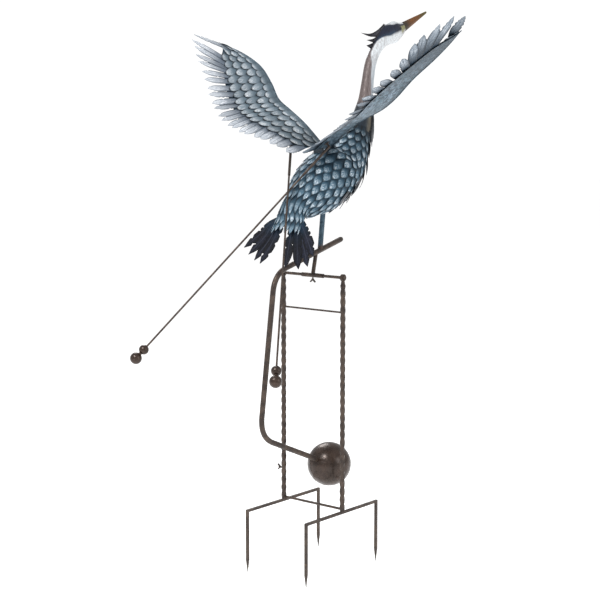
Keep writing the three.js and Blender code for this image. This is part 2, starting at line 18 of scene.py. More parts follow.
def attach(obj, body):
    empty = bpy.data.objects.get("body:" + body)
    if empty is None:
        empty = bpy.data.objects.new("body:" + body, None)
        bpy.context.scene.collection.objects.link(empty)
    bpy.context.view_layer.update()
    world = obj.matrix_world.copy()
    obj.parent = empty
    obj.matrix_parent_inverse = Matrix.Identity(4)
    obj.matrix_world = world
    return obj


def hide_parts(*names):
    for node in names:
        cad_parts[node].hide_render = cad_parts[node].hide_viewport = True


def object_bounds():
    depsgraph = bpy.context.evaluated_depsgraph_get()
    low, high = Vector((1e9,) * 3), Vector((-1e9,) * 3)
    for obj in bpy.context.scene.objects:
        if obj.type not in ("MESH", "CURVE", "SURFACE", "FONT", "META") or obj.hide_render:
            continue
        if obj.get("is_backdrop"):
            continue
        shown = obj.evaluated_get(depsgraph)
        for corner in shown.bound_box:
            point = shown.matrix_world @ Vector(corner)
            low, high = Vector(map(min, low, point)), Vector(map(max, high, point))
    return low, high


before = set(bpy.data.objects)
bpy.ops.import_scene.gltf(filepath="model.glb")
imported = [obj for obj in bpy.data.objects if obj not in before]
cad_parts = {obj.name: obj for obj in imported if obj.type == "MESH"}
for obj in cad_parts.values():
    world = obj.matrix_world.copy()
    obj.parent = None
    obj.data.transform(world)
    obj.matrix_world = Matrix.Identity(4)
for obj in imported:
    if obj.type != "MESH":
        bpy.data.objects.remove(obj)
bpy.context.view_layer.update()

MM = 0.001
SIDEWAYS = Vector((1, 0, 0))

# %% [markdown]
# ## Camera, light and floor
# The photograph looks slightly down on the bird from its right rear, through a long lens, on white. A plain
# floor lies just under the prong tips, and three large soft lights stand in for the studio's.

# %% Camera
CAMERA_PLACE = (2.7725, -3.3712, 1.215)
CAMERA_DOWN = 7.176
CAMERA_TURN = 39.958
CAMERA_LENS = 84.363

camera = bpy.data.objects.new("camera", bpy.data.cameras.new("camera"))
camera.location = CAMERA_PLACE
camera.rotation_euler = (math.radians(90 - CAMERA_DOWN), 0, math.radians(CAMERA_TURN))
camera.data.lens = CAMERA_LENS
camera.data.sensor_width = 36
bpy.context.scene.collection.objects.link(camera)
bpy.context.scene.camera = camera
print("camera at", CAMERA_PLACE)

# %% Lights and sky
AIM = Vector((0, 0, 0.95))
LIGHTS = {
    "key": ((0.0, -3.2, 3.8), 1.3, 120),
    "fill": ((4.0, 0.4, 2.0), 1.8, 30),
    "rim": ((-2.8, 1.8, 3.2), 1.6, 60),
}
for name, (place, size, power) in LIGHTS.items():
    lamp = bpy.data.lights.new(name, "AREA")
    lamp.size = size
    lamp.energy = power
    holder = bpy.data.objects.new(name, lamp)
    holder.location = place
    holder.rotation_euler = (AIM - Vector(place)).to_track_quat("-Z", "Y").to_euler()
    bpy.context.scene.collection.objects.link(holder)

SKY_SEEN = 1.06
SKY_LIGHT = 0.68
sky = bpy.data.worlds.new("sky")
bpy.context.scene.world = sky
sky.use_nodes = True
background = sky.node_tree.nodes["Background"]
background.inputs["Color"].default_value = (1, 1, 1, 1)
ray = sky.node_tree.nodes.new("ShaderNodeLightPath")
seen = sky.node_tree.nodes.new("ShaderNodeMapRange")
seen.inputs["To Min"].default_value = SKY_LIGHT
seen.inputs["To Max"].default_value = SKY_SEEN
sky.node_tree.links.new(ray.outputs["Is Camera Ray"], seen.inputs["Value"])
sky.node_tree.links.new(seen.outputs["Result"], background.inputs["Strength"])
bpy.context.scene.view_settings.view_transform = "Standard"
print("lights:", ", ".join(LIGHTS))

# %% [markdown]
# ## Finishes
# Every finish is a small net of nodes. Colours are typed as they are read off a screen, from 0 to 255. Where
# a pattern follows a feather, it reads the numbers that the mesh carries at each point: how far along the
# feather, how far across it, where the feather sits on its piece, and a tone of its own.


# %% Node helpers
def paint(red, green, blue):
    """A screen colour as the linear one that nodes take."""
    def linear(value):
        share = value / 255
        return share / 12.92 if share <= 0.04045 else ((share + 0.055) / 1.055) ** 2.4
    return (linear(red), linear(green), linear(blue), 1.0)


def feed(tree, socket, value):
    if isinstance(value, bpy.types.NodeSocket):
        tree.links.new(value, socket)
    else:
        socket.default_value = value


def reckon(tree, operation, *values, clamp=False):
    node = tree.nodes.new("ShaderNodeMath")
    node.operation = operation
    node.use_clamp = clamp
    for socket, value in zip(node.inputs, values):
        feed(tree, socket, value)
    return node.outputs[0]


def blend(tree, share, first, second, mode="MIX"):
    node = tree.nodes.new("ShaderNodeMix")
    node.data_type = "RGBA"
    node.blend_type = mode
    feed(tree, node.inputs[0], share)
    feed(tree, node.inputs[6], first)
    feed(tree, node.inputs[7], second)
    return node.outputs[2]


def remap(tree, value, low, high, to_low=0.0, to_high=1.0):
    node = tree.nodes.new("ShaderNodeMapRange")
    node.interpolation_type = "SMOOTHSTEP"
    feed(tree, node.inputs[0], value)
    for socket, number in zip(node.inputs[1:5], (low, high, to_low, to_high)):
        socket.default_value = number
    return node.outputs[0]


def carried(tree, name):
    node = tree.nodes.new("ShaderNodeAttribute")
    node.attribute_name = name
    return node.outputs["Color"] if name == "coat" else node.outputs["Fac"]


def grain(tree, scale, detail=4.0, stretch=(1, 1, 1), rough=0.55):
    """Noise on Object coordinates, stretched where a finish has a direction."""
    place = tree.nodes.new("ShaderNodeTexCoord")
    mapping = tree.nodes.new("ShaderNodeMapping")
    mapping.inputs["Scale"].default_value = stretch
    tree.links.new(place.outputs["Object"], mapping.inputs["Vector"])
    node = tree.nodes.new("ShaderNodeTexNoise")
    node.inputs["Scale"].default_value = scale
    node.inputs["Detail"].default_value = detail
    node.inputs["Roughness"].default_value = rough
    tree.links.new(mapping.outputs[0], node.inputs["Vector"])
    return node.outputs["Fac"]


def finish_of(name, metallic):
    material = bpy.data.materials.new(name)
    material.use_nodes = True
    shader = material.node_tree.nodes["Principled BSDF"]
    shader.inputs["Metallic"].default_value = metallic
    return material, material.node_tree, shader


def dress(tree, shader, colour, roughness, height, depth):
    """Colour, gloss and fine relief of a finish, all varying over the surface."""
    feed(tree, shader.inputs["Base Color"], colour)
    feed(tree, shader.inputs["Roughness"], roughness)
    bump = tree.nodes.new("ShaderNodeBump")
    bump.inputs["Strength"].default_value = 0.6
    bump.inputs["Distance"].default_value = depth * MM
    feed(tree, bump.inputs["Height"], height)
    tree.links.new(bump.outputs["Normal"], shader.inputs["Normal"])


# %% Bronze-brown coat of the stand
def bronze_finish(name, dark, light, rust, rust_share, gloss=0.36):
    """Powder coat on steel: mottled brown with warm rubbed patches and small specks."""
    material, tree, shader = finish_of(name, 0.45)
    patches = remap(tree, grain(tree, 38), 0.35, 0.68)
    rubbed = remap(tree, grain(tree, 120, 5), 0.56 - rust_share, 0.75 - rust_share)
    specks = remap(tree, grain(tree, 900, 2), 0.6, 0.7)
    colour = blend(tree, patches, paint(*dark), paint(*light))
    colour = blend(tree, reckon(tree, "MULTIPLY", rubbed, 0.7), colour, paint(*rust))
    colour = blend(tree, reckon(tree, "MULTIPLY", specks, 0.35), colour, paint(150, 128, 108))
    roughness = remap(tree, grain(tree, 70), 0.3, 0.7, gloss, gloss + 0.24)
    dress(tree, shader, colour, roughness, grain(tree, 650, 6), 0.35)
    return material


BRONZE = bronze_finish("bronze_coat", (52, 44, 41), (80, 68, 60), (104, 84, 68), 0.0)
BALL_COAT = bronze_finish("ball_coat", (48, 38, 33), (64, 50, 43), (80, 64, 52), -0.02, 0.12)
RUSTY = bronze_finish("rusty_coat", (46, 38, 35), (66, 56, 50), (84, 68, 58), 0.0)
SLATE_COAT = bronze_finish("slate_coat", (24, 34, 42), (40, 54, 66), (62, 76, 88), 0.0)
print("bronze finishes:", BRONZE.name, BALL_COAT.name, RUSTY.name)


# %% [markdown]
# A painted feather is dark at its root and in its outline, and pale where a dry brush was dragged over its
# raised middle. The dark root and outline are painted shade where the feather above laps over it, and the pale
# patch is dry-brushed paint that is also a painted highlight on the raised middle. The brush leaves fine
# slanting strokes on both sides of the shaft, like the barbs of a feather. Some finishes also get painted shade
# by the feather's place on its piece. One function makes every kind of feather, from a few colours and the
# sizes of its strokes.

# %% Feather finish
def feather_finish(name, root, middle, tip, shade_colour, strokes, pale_from, metallic=0.45, shaft=None, side_shade_strength=0.9,
                   edged=0.0, shade_by_place=None, gloss=0.4, side_shade_to=0.88, shine=0.5, rim=0.0):
    material, tree, shader = finish_of(name, metallic)
    shader.inputs["Specular IOR Level"].default_value = shine
    along = carried(tree, "along")
    across = reckon(tree, "ABSOLUTE", carried(tree, "across"))
    tone = carried(tree, "tone")
    slant = reckon(tree, "MULTIPLY_ADD", across, -0.42, along)
    brush = tree.nodes.new("ShaderNodeCombineXYZ")
    feed(tree, brush.inputs[0], reckon(tree, "MULTIPLY", slant, strokes))
    feed(tree, brush.inputs[1], reckon(tree, "MULTIPLY", across, 1.3))
    feed(tree, brush.inputs[2], reckon(tree, "MULTIPLY", tone, 40.0))
    bristles = tree.nodes.new("ShaderNodeTexNoise")
    bristles.inputs["Scale"].default_value = 1.0
    bristles.inputs["Detail"].default_value = 3.0
    feed(tree, bristles.inputs["Vector"], brush.outputs[0])
    stroke = remap(tree, bristles.outputs["Fac"], 0.42, 0.58)
    dry = remap(tree, grain(tree, 190, 5), 0.36, 0.6, 0.35, 1.0)
    # Pale brushed tip: dry-brush paint, and a painted highlight on the raised middle.
    pale_tip_and_highlight = reckon(tree, "MULTIPLY", remap(tree, along, pale_from, 0.88), remap(tree, across, 1.02, 0.4))
    light = reckon(tree, "MULTIPLY", reckon(tree, "MULTIPLY", pale_tip_and_highlight, dry),
                   reckon(tree, "MULTIPLY_ADD", stroke, 0.95, 0.12), clamp=True)
    light = reckon(tree, "MULTIPLY", light, reckon(tree, "MULTIPLY_ADD", tone, 0.6, 0.55), clamp=True)
    colour = blend(tree, remap(tree, along, 0.25, 0.75), paint(*root), paint(*middle))
    colour = blend(tree, light, colour, paint(*tip))
    # Painted shade: the sides near the root go dark where the feather above laps over them.
    side_shade = reckon(tree, "MULTIPLY", remap(tree, across, 0.3, 1.0), remap(tree, along, side_shade_to, side_shade_to - 0.3))
    colour = blend(tree, reckon(tree, "MULTIPLY", side_shade, side_shade_strength), colour, paint(*shade_colour))
    if shaft:
        line = reckon(tree, "MULTIPLY", remap(tree, across, 0.12, 0.03), 0.6)
        colour = blend(tree, line, colour, paint(*shaft))
    # Painted shade: dark lines along the feather's edges, between overlapping feathers.
    if edged:
        colour = blend(tree, reckon(tree, "MULTIPLY", remap(tree, across, 0.72, 1.0), edged), colour, paint(*shade_colour))
    # Painted shadow: a dark crescent at the tip, for the gap under the raised tip.
    if rim:
        lip = reckon(tree, "MAXIMUM", remap(tree, across, 0.66, 0.95), remap(tree, along, 0.86, 0.98))
        lip = reckon(tree, "MULTIPLY", lip, remap(tree, along, 0.45, 0.65))
        colour = blend(tree, reckon(tree, "MULTIPLY", lip, rim), colour, paint(*shade_colour))
    shade = reckon(tree, "MULTIPLY_ADD", tone, 0.45, 0.72)
    # Painted shade, set by the feather's place on its piece.
    if shade_by_place:
        shade = reckon(tree, "MULTIPLY", shade, remap(tree, carried(tree, "place"), *shade_by_place))
    colour = blend(tree, 1.0, colour, blend(tree, shade, (0, 0, 0, 1), (1, 1, 1, 1)), "MULTIPLY")
    roughness = remap(tree, grain(tree, 150), 0.3, 0.7, gloss, gloss + 0.2)
    height = reckon(tree, "ADD", stroke, grain(tree, 500, 4))
    dress(tree, shader, colour, roughness, height, 0.4)
    return material


# The body feathers get painted shade towards the shoulders under the wings, and are lighter low on the body.
SCALES = feather_finish("body_feathers", (22, 48, 64), (58, 98, 120), (232, 241, 248), (6, 16, 26), 16, 0.42,
                        metallic=0.3, shade_by_place=(0.26, 0.42, 1.25, 0.42), gloss=0.5, side_shade_to=0.7, rim=0.75)
# The coverts get painted shade near the wing's root, by the body.
COVERTS = feather_finish("covert_feathers", (92, 110, 122), (134, 150, 162), (248, 251, 254), (4, 10, 18), 16, 0.45,
                         metallic=0.3, shade_by_place=(0.0, 0.3, 0.55, 1.12), gloss=0.5, side_shade_to=0.7, side_shade_strength=0.3,
                         rim=1.0)
FLIGHT = feather_finish("flight_feathers", (98, 110, 124), (184, 192, 202), (240, 243, 248), (64, 76, 90),
                        18, 0.1, 0.2, shaft=(104, 116, 132), side_shade_strength=0.5, edged=0.8)
FLIGHT_UNDER = feather_finish("flight_undersides", (40, 56, 70), (104, 118, 132), (196, 204, 212), (26, 38, 50),
                              18, 0.3, 0.2, shaft=(70, 84, 98), side_shade_strength=0.6, edged=0.95)
TAIL_BLACK = feather_finish("tail_feathers", (18, 42, 60), (8, 10, 18), (34, 38, 54), (3, 3, 6), 24, 0.3, 0.0,
                            shaft=(56, 60, 76), side_shade_strength=0.5, edged=0.6, gloss=0.5, shine=0.2)
PLUMES = feather_finish("breast_plumes", (30, 36, 44), (56, 58, 66), (146, 150, 156), (20, 22, 28), 12, 0.2, 0.2)
# The grey at the crest plumes' roots is a painted highlight on the black sheet.
CREST_BLACK = feather_finish("crest_plumes", (78, 78, 86), (14, 14, 18), (70, 70, 80), (6, 6, 8), 10, 0.0, 0.0,
                             gloss=0.5, shine=0.25)
print("feather finishes made")


# %% Hammered underside of the wings
def underside_finish():
    """Steel-blue paint rubbed over a fine hammered grain, with painted shade along the folded edges and towards the
    root and the tip.
    """
    material, tree, shader = finish_of("wing_underside", 0.15)
    along = carried(tree, "along")
    place = carried(tree, "place")
    spots = remap(tree, grain(tree, 95, 3, rough=0.65), 0.45, 0.55)
    clouds = remap(tree, grain(tree, 26, 3), 0.35, 0.65)
    colour = blend(tree, clouds, paint(88, 114, 128), paint(122, 142, 158))
    colour = blend(tree, reckon(tree, "MULTIPLY", spots, 0.9), colour, paint(28, 50, 66))
    # Painted shade: darker towards the wing's root and its tip.
    root_and_tip_shade = reckon(tree, "MAXIMUM", reckon(tree, "MULTIPLY", remap(tree, place, 0.2, 0.0), 0.45),
                 reckon(tree, "MULTIPLY", remap(tree, place, 0.45, 0.85), 0.75))
    colour = blend(tree, root_and_tip_shade, colour, paint(22, 44, 60))
    # Painted shade along the folded leading edge and along the fold where the fringe begins.
    edge = reckon(tree, "MAXIMUM", remap(tree, along, 0.2, 0.0), remap(tree, along, 0.95, 0.99))
    colour = blend(tree, reckon(tree, "MULTIPLY", edge, 0.8), colour, paint(24, 38, 48))
    roughness = remap(tree, grain(tree, 120), 0.3, 0.7, 0.46, 0.62)
    dress(tree, shader, colour, roughness, grain(tree, 330, 4), 0.6)
    return material


UNDERSIDE = underside_finish()


# %% Painted neck and head, and the skin under the feathers
def coat_finish():
    """Hand-laid paint: the mesh carries the broad colours, and streaks run down through them."""
    material, tree, shader = finish_of("neck_and_head", 0.25)
    streaks = remap(tree, grain(tree, 1.0, 5, (260, 260, 22)), 0.42, 0.62)
    coat = carried(tree, "coat")
    colour = blend(tree, reckon(tree, "MULTIPLY", streaks, 0.5), coat,
                   blend(tree, 1.0, coat, paint(168, 148, 140), "MULTIPLY"))
    colour = blend(tree, reckon(tree, "MULTIPLY", grain(tree, 180, 4), 0.1), colour, paint(60, 64, 72))
    roughness = remap(tree, grain(tree, 110), 0.3, 0.7, 0.38, 0.58)
    height = reckon(tree, "ADD", reckon(tree, "MULTIPLY", streaks, 0.6), grain(tree, 420, 4))
    dress(tree, shader, colour, roughness, height, 0.3)
    return material


COAT = coat_finish()


# %% Bill, leg and eye
def bill_finish():
    """Dark olive at the root, orange-brown in the middle and olive at the tip, with a dark gape line of painted shade
    for the groove between the mandibles.
    """
    material, tree, shader = finish_of("bill_paint", 0.0)
    along = carried(tree, "along")
    across = reckon(tree, "ABSOLUTE", carried(tree, "across"))
    colour = blend(tree, remap(tree, along, 0.05, 0.36), paint(34, 30, 14), paint(108, 62, 6))
    colour = blend(tree, remap(tree, along, 0.55, 0.85), colour, paint(80, 70, 16))
    streak = remap(tree, grain(tree, 1.0, 4, (300, 60, 300)), 0.4, 0.65)
    colour = blend(tree, reckon(tree, "MULTIPLY", streak, 0.4), colour, paint(80, 52, 30))
    # Painted shade along the gape, for the groove between the mandibles.
    gape = reckon(tree, "MULTIPLY", remap(tree, across, 0.05, 0.02), remap(tree, along, 0.9, 0.7))
    colour = blend(tree, gape, colour, paint(48, 36, 28))
    roughness = remap(tree, grain(tree, 140), 0.3, 0.7, 0.44, 0.6)
    dress(tree, shader, colour, roughness, grain(tree, 380, 4), 0.25)
    return material


def leg_finish():
    """Blue-grey paint, worn to dark metal near the weld at its foot."""
    material, tree, shader = finish_of("leg_paint", 0.4)
    place = tree.nodes.new("ShaderNodeTexCoord")
    parts = tree.nodes.new("ShaderNodeSeparateXYZ")
    tree.links.new(place.outputs["Object"], parts.inputs[0])
    clouds = remap(tree, grain(tree, 60), 0.35, 0.65)
    colour = blend(tree, clouds, paint(44, 66, 80), paint(78, 100, 114))
    worn = reckon(tree, "ADD", parts.outputs["Z"], reckon(tree, "MULTIPLY", grain(tree, 90), 0.03))
    colour = blend(tree, remap(tree, worn, 0.862, 0.84), colour, paint(66, 52, 46))
    roughness = remap(tree, grain(tree, 100), 0.3, 0.7, 0.36, 0.55)
    dress(tree, shader, colour, roughness, grain(tree, 500, 5), 0.3)
    return material


def eye_finish():
    material, tree, shader = finish_of("eye_enamel", 0.0)
    colour = blend(tree, remap(tree, grain(tree, 700, 2), 0.4, 0.6), paint(10, 12, 18), paint(26, 30, 42))
    dress(tree, shader, colour, remap(tree, grain(tree, 300), 0.3, 0.7, 0.12, 0.2), grain(tree, 600, 2), 0.05)
    return material


BILL_PAINT = bill_finish()
LEG_PAINT = leg_finish()
EYE_ENAMEL = eye_finish()
print("finishes in the box:", len(bpy.data.materials))

# %% [markdown]
# ## Workshop helpers
# Most of the ornament is tube, bar or blade: something with a middle line and a cross-section that changes
# along it. So one helper lofts a ring along a line, by extruding the ring's edges and moving the new ring to
# its place, and a second spins a profile. Both are operators that a modeller uses by hand.

# %% Smooth lines and rings
LINE_POWER = 0.5


def smooth_line(points, share):
    """The point of a centripetal Catmull-Rom line through points, share running from 0 to 1."""
    last = len(points) - 1
    step = min(int(share * last), last - 1)
    here = share * last - step
    p1, p2 = points[step], points[step + 1]
    p0 = points[step - 1] if step > 0 else 2 * p1 - p2
    p3 = points[step + 2] if step + 2 <= last else 2 * p2 - p1
    gaps = [(b - a).length ** LINE_POWER or 1.0 for a, b in ((p0, p1), (p1, p2), (p2, p3))]
    m1 = ((p1 - p0) / gaps[0] - (p2 - p0) / (gaps[0] + gaps[1]) + (p2 - p1) / gaps[1]) * gaps[1]
    m2 = ((p2 - p1) / gaps[1] - (p3 - p1) / (gaps[1] + gaps[2]) + (p3 - p2) / gaps[2]) * gaps[1]
    square, cube = here * here, here ** 3
    return (p1 + m1 * here + (3 * (p2 - p1) - 2 * m1 - m2) * square + (2 * (p1 - p2) + m1 + m2) * cube)


def heading(points, share):
    low, high = max(share - 1e-3, 0), min(share + 1e-3, 1)
    return (smooth_line(points, high) - smooth_line(points, low)).normalized()


def ring_at(centre, along, wide, deep, side=SIDEWAYS):
    """A matrix that puts a unit circle at centre, wide across side and deep the other way. Millimetres."""
    across = (side - along * side.dot(along)).normalized()
    other = along.cross(across)
    turn = Matrix((across * wide, other * deep, along)).transposed().to_4x4()
    return Matrix.Translation(centre * MM) @ Matrix.Scale(MM, 4) @ turn


def in_plane(y, z, x=0.0):
    return Vector((x, y, z))


# %% Numbers that the mesh carries
LAYERS = ("along", "across", "tone", "place")


def new_piece():
    bm = bmesh.new()
    for name in LAYERS:
        bm.verts.layers.float.new(name)
    return bm


def note(bm, verts, **numbers):
    for name, number in numbers.items():
        layer = bm.verts.layers.float[name]
        for vert in verts:
            vert[layer] = number


# %% Loft, spin and bar
def loft(bm, rings, sides, places=None, close_start=True, close_end=True):
    """A tube through rings. It notes the place along it and, in across, the angle round each ring."""
    verts = bmesh.ops.create_circle(bm, segments=sides, radius=1.0)["verts"]
    angle = bm.verts.layers.float["across"]
    for vert in verts:
        vert[angle] = math.atan2(vert.co.x, vert.co.y)
    bmesh.ops.transform(bm, matrix=rings[0], verts=verts)
    edges = list({edge for vert in verts for edge in vert.link_edges})
    made = []
    places = places or [i / (len(rings) - 1) for i in range(len(rings))]
    note(bm, verts, along=places[0])
    if close_start:
        made += bmesh.ops.contextual_create(bm, geom=edges)["faces"]
    for before, after, place in zip(rings, rings[1:], places[1:]):
        grown = bmesh.ops.extrude_edge_only(bm, edges=edges)["geom"]
        verts = [item for item in grown if isinstance(item, bmesh.types.BMVert)]
        fresh = set(verts)
        made += list({face for edge in edges for face in edge.link_faces if fresh & set(face.verts)})
        edges = [item for item in grown if isinstance(item, bmesh.types.BMEdge) and set(item.verts) <= fresh]
        bmesh.ops.transform(bm, matrix=after @ before.inverted(), verts=verts)
        note(bm, verts, along=place)
    if close_end:
        made += bmesh.ops.contextual_create(bm, geom=edges)["faces"]
    return made


def bar(bm, start, end, radius, end_radius=None, sides=24, soften=0.7):
    """A round bar with softened ends."""
    end_radius = end_radius or radius
    along = (end - start).normalized()
    side = Vector((0, 0, 1)) if abs(along.x) > 0.7 else SIDEWAYS
    inner = max(radius - soften, 0.3), max(end_radius - soften, 0.3)
    stops = [(start, inner[0]), (start + along * soften, radius), (end - along * soften, end_radius), (end, inner[1])]
    return loft(bm, [ring_at(at, along, size, size, side) for at, size in stops], sides)


def turned(bm, profile, centre, axis, steps=32, closed=False):
    """A profile of (distance along the axis, radius) spun a full turn. Millimetres."""
    side = Vector((0, 0, 1)) if abs(axis.x) > 0.7 else SIDEWAYS
    side = (side - axis * side.dot(axis)).normalized()
    verts = [bm.verts.new((centre + axis * along + side * max(radius, 0)) * MM) for along, radius in profile]
    pairs = list(zip(verts, verts[1:])) + ([(verts[-1], verts[0])] if closed else [])
    edges = [bm.edges.new(pair) for pair in pairs]
    before = set(bm.faces)
    bmesh.ops.spin(bm, geom=verts + edges, cent=centre * MM, axis=axis, dvec=(0, 0, 0), angle=2 * math.pi,
                   steps=steps, use_merge=True, use_duplicate=False)
    made = [face for face in bm.faces if face not in before]
    bmesh.ops.remove_doubles(bm, verts=list({vert for face in made for vert in face.verts}), dist=0.02 * MM)
    return made


# %% Ending a piece
SHARP = math.radians(38)


def end_piece(bm, name, body, slot, materials, *nodes):
    """Point the faces outwards, make the object, and say what it rides on and stands for."""
    bmesh.ops.recalc_face_normals(bm, faces=bm.faces)
    mesh = bpy.data.meshes.new(name)
    bm.to_mesh(mesh)
    bm.free()
    for material in materials:
        mesh.materials.append(material)
    mesh.polygons.foreach_set("use_smooth", [True] * len(mesh.polygons))
    mesh.set_sharp_from_angle(angle=SHARP)
    piece = bpy.data.objects.new(name, mesh)
    bpy.context.scene.collection.objects.link(piece)
    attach(piece, body)
    if nodes:
        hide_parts(*nodes)
    print(name, "faces:", len(mesh.polygons))
    return piece


# %% [markdown]
# ## The feather
# A feather is punched from thin sheet and embossed: an outline, a ridge for its shaft and a slight arch. Here
# it is a small grid whose points are moved to a place on the bird that a rule gives, so that the same
# feather can lie on the round body or the flat wing. It gets its thickness at the end, with all the others.

# %% One feather
RIDGE_SHARE = 1.5


def scale_outline(along):
    """Half the width of a round-tipped feather, from 0 to 1, at a share of its length."""
    if along < 0.5:
        return 0.74 + 0.26 * math.sin(math.pi * along)
    return max(math.cos(math.pi * (along - 0.5)) ** 0.62, 0.07)


def lance_outline(along):
    """A body feather, which narrows sooner to a rounded point."""
    if along < 0.5:
        return 0.78 + 0.22 * math.sin(math.pi * along)
    return max(math.cos(math.pi * (along - 0.5)) ** 0.9, 0.06)


def blade_outline(along):
    """The same for a long feather that comes to a point."""
    grow = 0.62 + 0.38 * math.sin(min(along / 0.45, 1) * math.pi / 2)
    fall = 1 if along < 0.55 else max(1 - ((along - 0.55) / 0.45) ** 1.9, 0.04)
    return grow * fall


def fan_outline(along):
    """A broad tail feather, widest low down, with a short blunt point."""
    grow = 0.5 + 0.5 * math.sin(min(along / 0.7, 1) * math.pi / 2)
    fall = 1 if along < 0.8 else max(1 - ((along - 0.8) / 0.2) ** 1.7, 0.05)
    return grow * fall


def quill_outline(along):
    """A long flight feather that narrows slowly, so that its tip stands free of the next."""
    grow = 0.7 + 0.3 * math.sin(min(along / 0.6, 1) * math.pi / 2)
    fall = 1 if along < 0.6 else max(1 - ((along - 0.6) / 0.4) ** 2.6, 0.06)
    return grow * fall


def feather(bm, lie, outline, rows, columns=6, nicks=(), nick=0.56, tone=0.5, place=0.0, material=0):
    """lie(across, along, rise) gives a point; nicks are (row, side) where the edge is cut in."""
    before = set(bm.faces)
    verts = bmesh.ops.create_grid(bm, x_segments=columns, y_segments=rows, size=1.0)["verts"]
    along_layer = bm.verts.layers.float["along"]
    across_layer = bm.verts.layers.float["across"]
    for vert in verts:
        across = math.copysign(abs(vert.co.x) ** RIDGE_SHARE, vert.co.x)
        along = (vert.co.y + 1) / 2
        row = round(along * rows)
        cut = nick if (row, 1 if across > 0 else -1) in nicks and abs(across) > 0.9 else 1.0
        rise = 1 - across * across + (0.55 if abs(across) < 0.05 else 0.0)
        vert[along_layer] = along
        vert[across_layer] = across
        vert.co = lie(across * outline(along) * cut, along, rise) * MM
    note(bm, verts, tone=tone, place=place)
    made = [face for face in bm.faces if face not in before]
    for face in made:
        face.material_index = material
    return made


def give_thickness(bm, faces, thickness):
    bmesh.ops.recalc_face_normals(bm, faces=faces)
    bmesh.ops.solidify(bm, geom=faces, thickness=thickness * MM)


# %% [markdown]
# ## Body, neck and head
# The bird is one shell, rolled and welded from sheet, that swells from the open rump to the breast and thins
# to the neck. The skin is a loft of ovals. Fourteen or so rows of small feathers lap over the body towards
# the tail, and a fringe of cut plumes hangs down the breast.

# %% The bird's middle line
BIRD = [
    (-112, 915, 54, 13), (-91, 948, 49, 30), (-49, 972, 62, 53), (16, 1012, 83, 82), (76, 1048, 87, 87),
    (132, 1071, 76, 77), (188, 1132, 57, 58), (229, 1190, 40, 41), (252, 1248, 29, 30), (266, 1290, 23, 23.5),
    (278, 1352, 19.5, 19.5), (291, 1403, 18.5, 18.5), (315, 1446, 18.5, 19.5), (347, 1479, 20, 25), (382, 1500, 22, 33),
    (413, 1510, 22, 36), (443, 1518.5, 17, 26), (464, 1527.5, 12, 18),
]
BIRD_LINE = [in_plane(y, z) for y, z, _, _ in BIRD]
BIRD_SIZE = [Vector((wide, deep, 0)) for _, _, wide, deep in BIRD]
SKIN_SIDES = 56
SKIN_RINGS = 170
SKIN_THICK = 1.0

walk = [0.0]
WALK_STEPS = 400
for i in range(WALK_STEPS):
    walk.append(walk[-1] + (smooth_line(BIRD_LINE, (i + 1) / WALK_STEPS) - smooth_line(BIRD_LINE, i / WALK_STEPS)).length)


def share_at(distance):
    """The share of the middle line at a distance from the rump."""
    i = min(max(bisect.bisect_left(walk, distance), 1), WALK_STEPS)
    part = (distance - walk[i - 1]) / (walk[i] - walk[i - 1])
    return min(max((i - 1 + part) / WALK_STEPS, 0), 1)


def bird_point(share, angle, lift):
    """A point on the skin: angle 0 is the breast and pi the back."""
    along = heading(BIRD_LINE, share)
    size = smooth_line(BIRD_SIZE, share)
    breast = along.cross(SIDEWAYS)
    return (smooth_line(BIRD_LINE, share) + SIDEWAYS * ((size.x + lift) * math.sin(angle))
            + breast * ((size.y + lift) * math.cos(angle)))


def skin_point(distance, angle, lift):
    """A point by its distance from the rump. Below 0 the feathers carry on past the rim, over the tail."""
    past = min(distance, 0)
    return bird_point(share_at(distance), angle, lift) + heading(BIRD_LINE, 0) * past


print("length of the middle line:", round(walk[-1]), "mm")

# %% Colours of the neck and head
WHITE = Vector(paint(226, 232, 236)[:3])
GREY_WHITE = Vector(paint(186, 196, 204)[:3])
NAVY = Vector(paint(20, 29, 52)[:3])
OLIVE = Vector(paint(150, 150, 108)[:3])
TAUPE = Vector(paint(132, 122, 122)[:3])
BROWN = Vector(paint(80, 64, 58)[:3])
MOSS = Vector(paint(108, 104, 92)[:3])
POUCH = Vector(paint(196, 196, 198)[:3])
DEEP = Vector(paint(18, 34, 46)[:3])
SLATE_BLUE = Vector(paint(44, 72, 98)[:3])
BELLY = Vector(paint(146, 162, 182)[:3])


def ease(value, low, high):
    share = min(max((value - low) / (high - low), 0), 1)
    return share * share * (3 - 2 * share)


def within(value, low, high, soft):
    return ease(value, low - soft, low + soft) * (1 - ease(value, high - soft, high + soft))


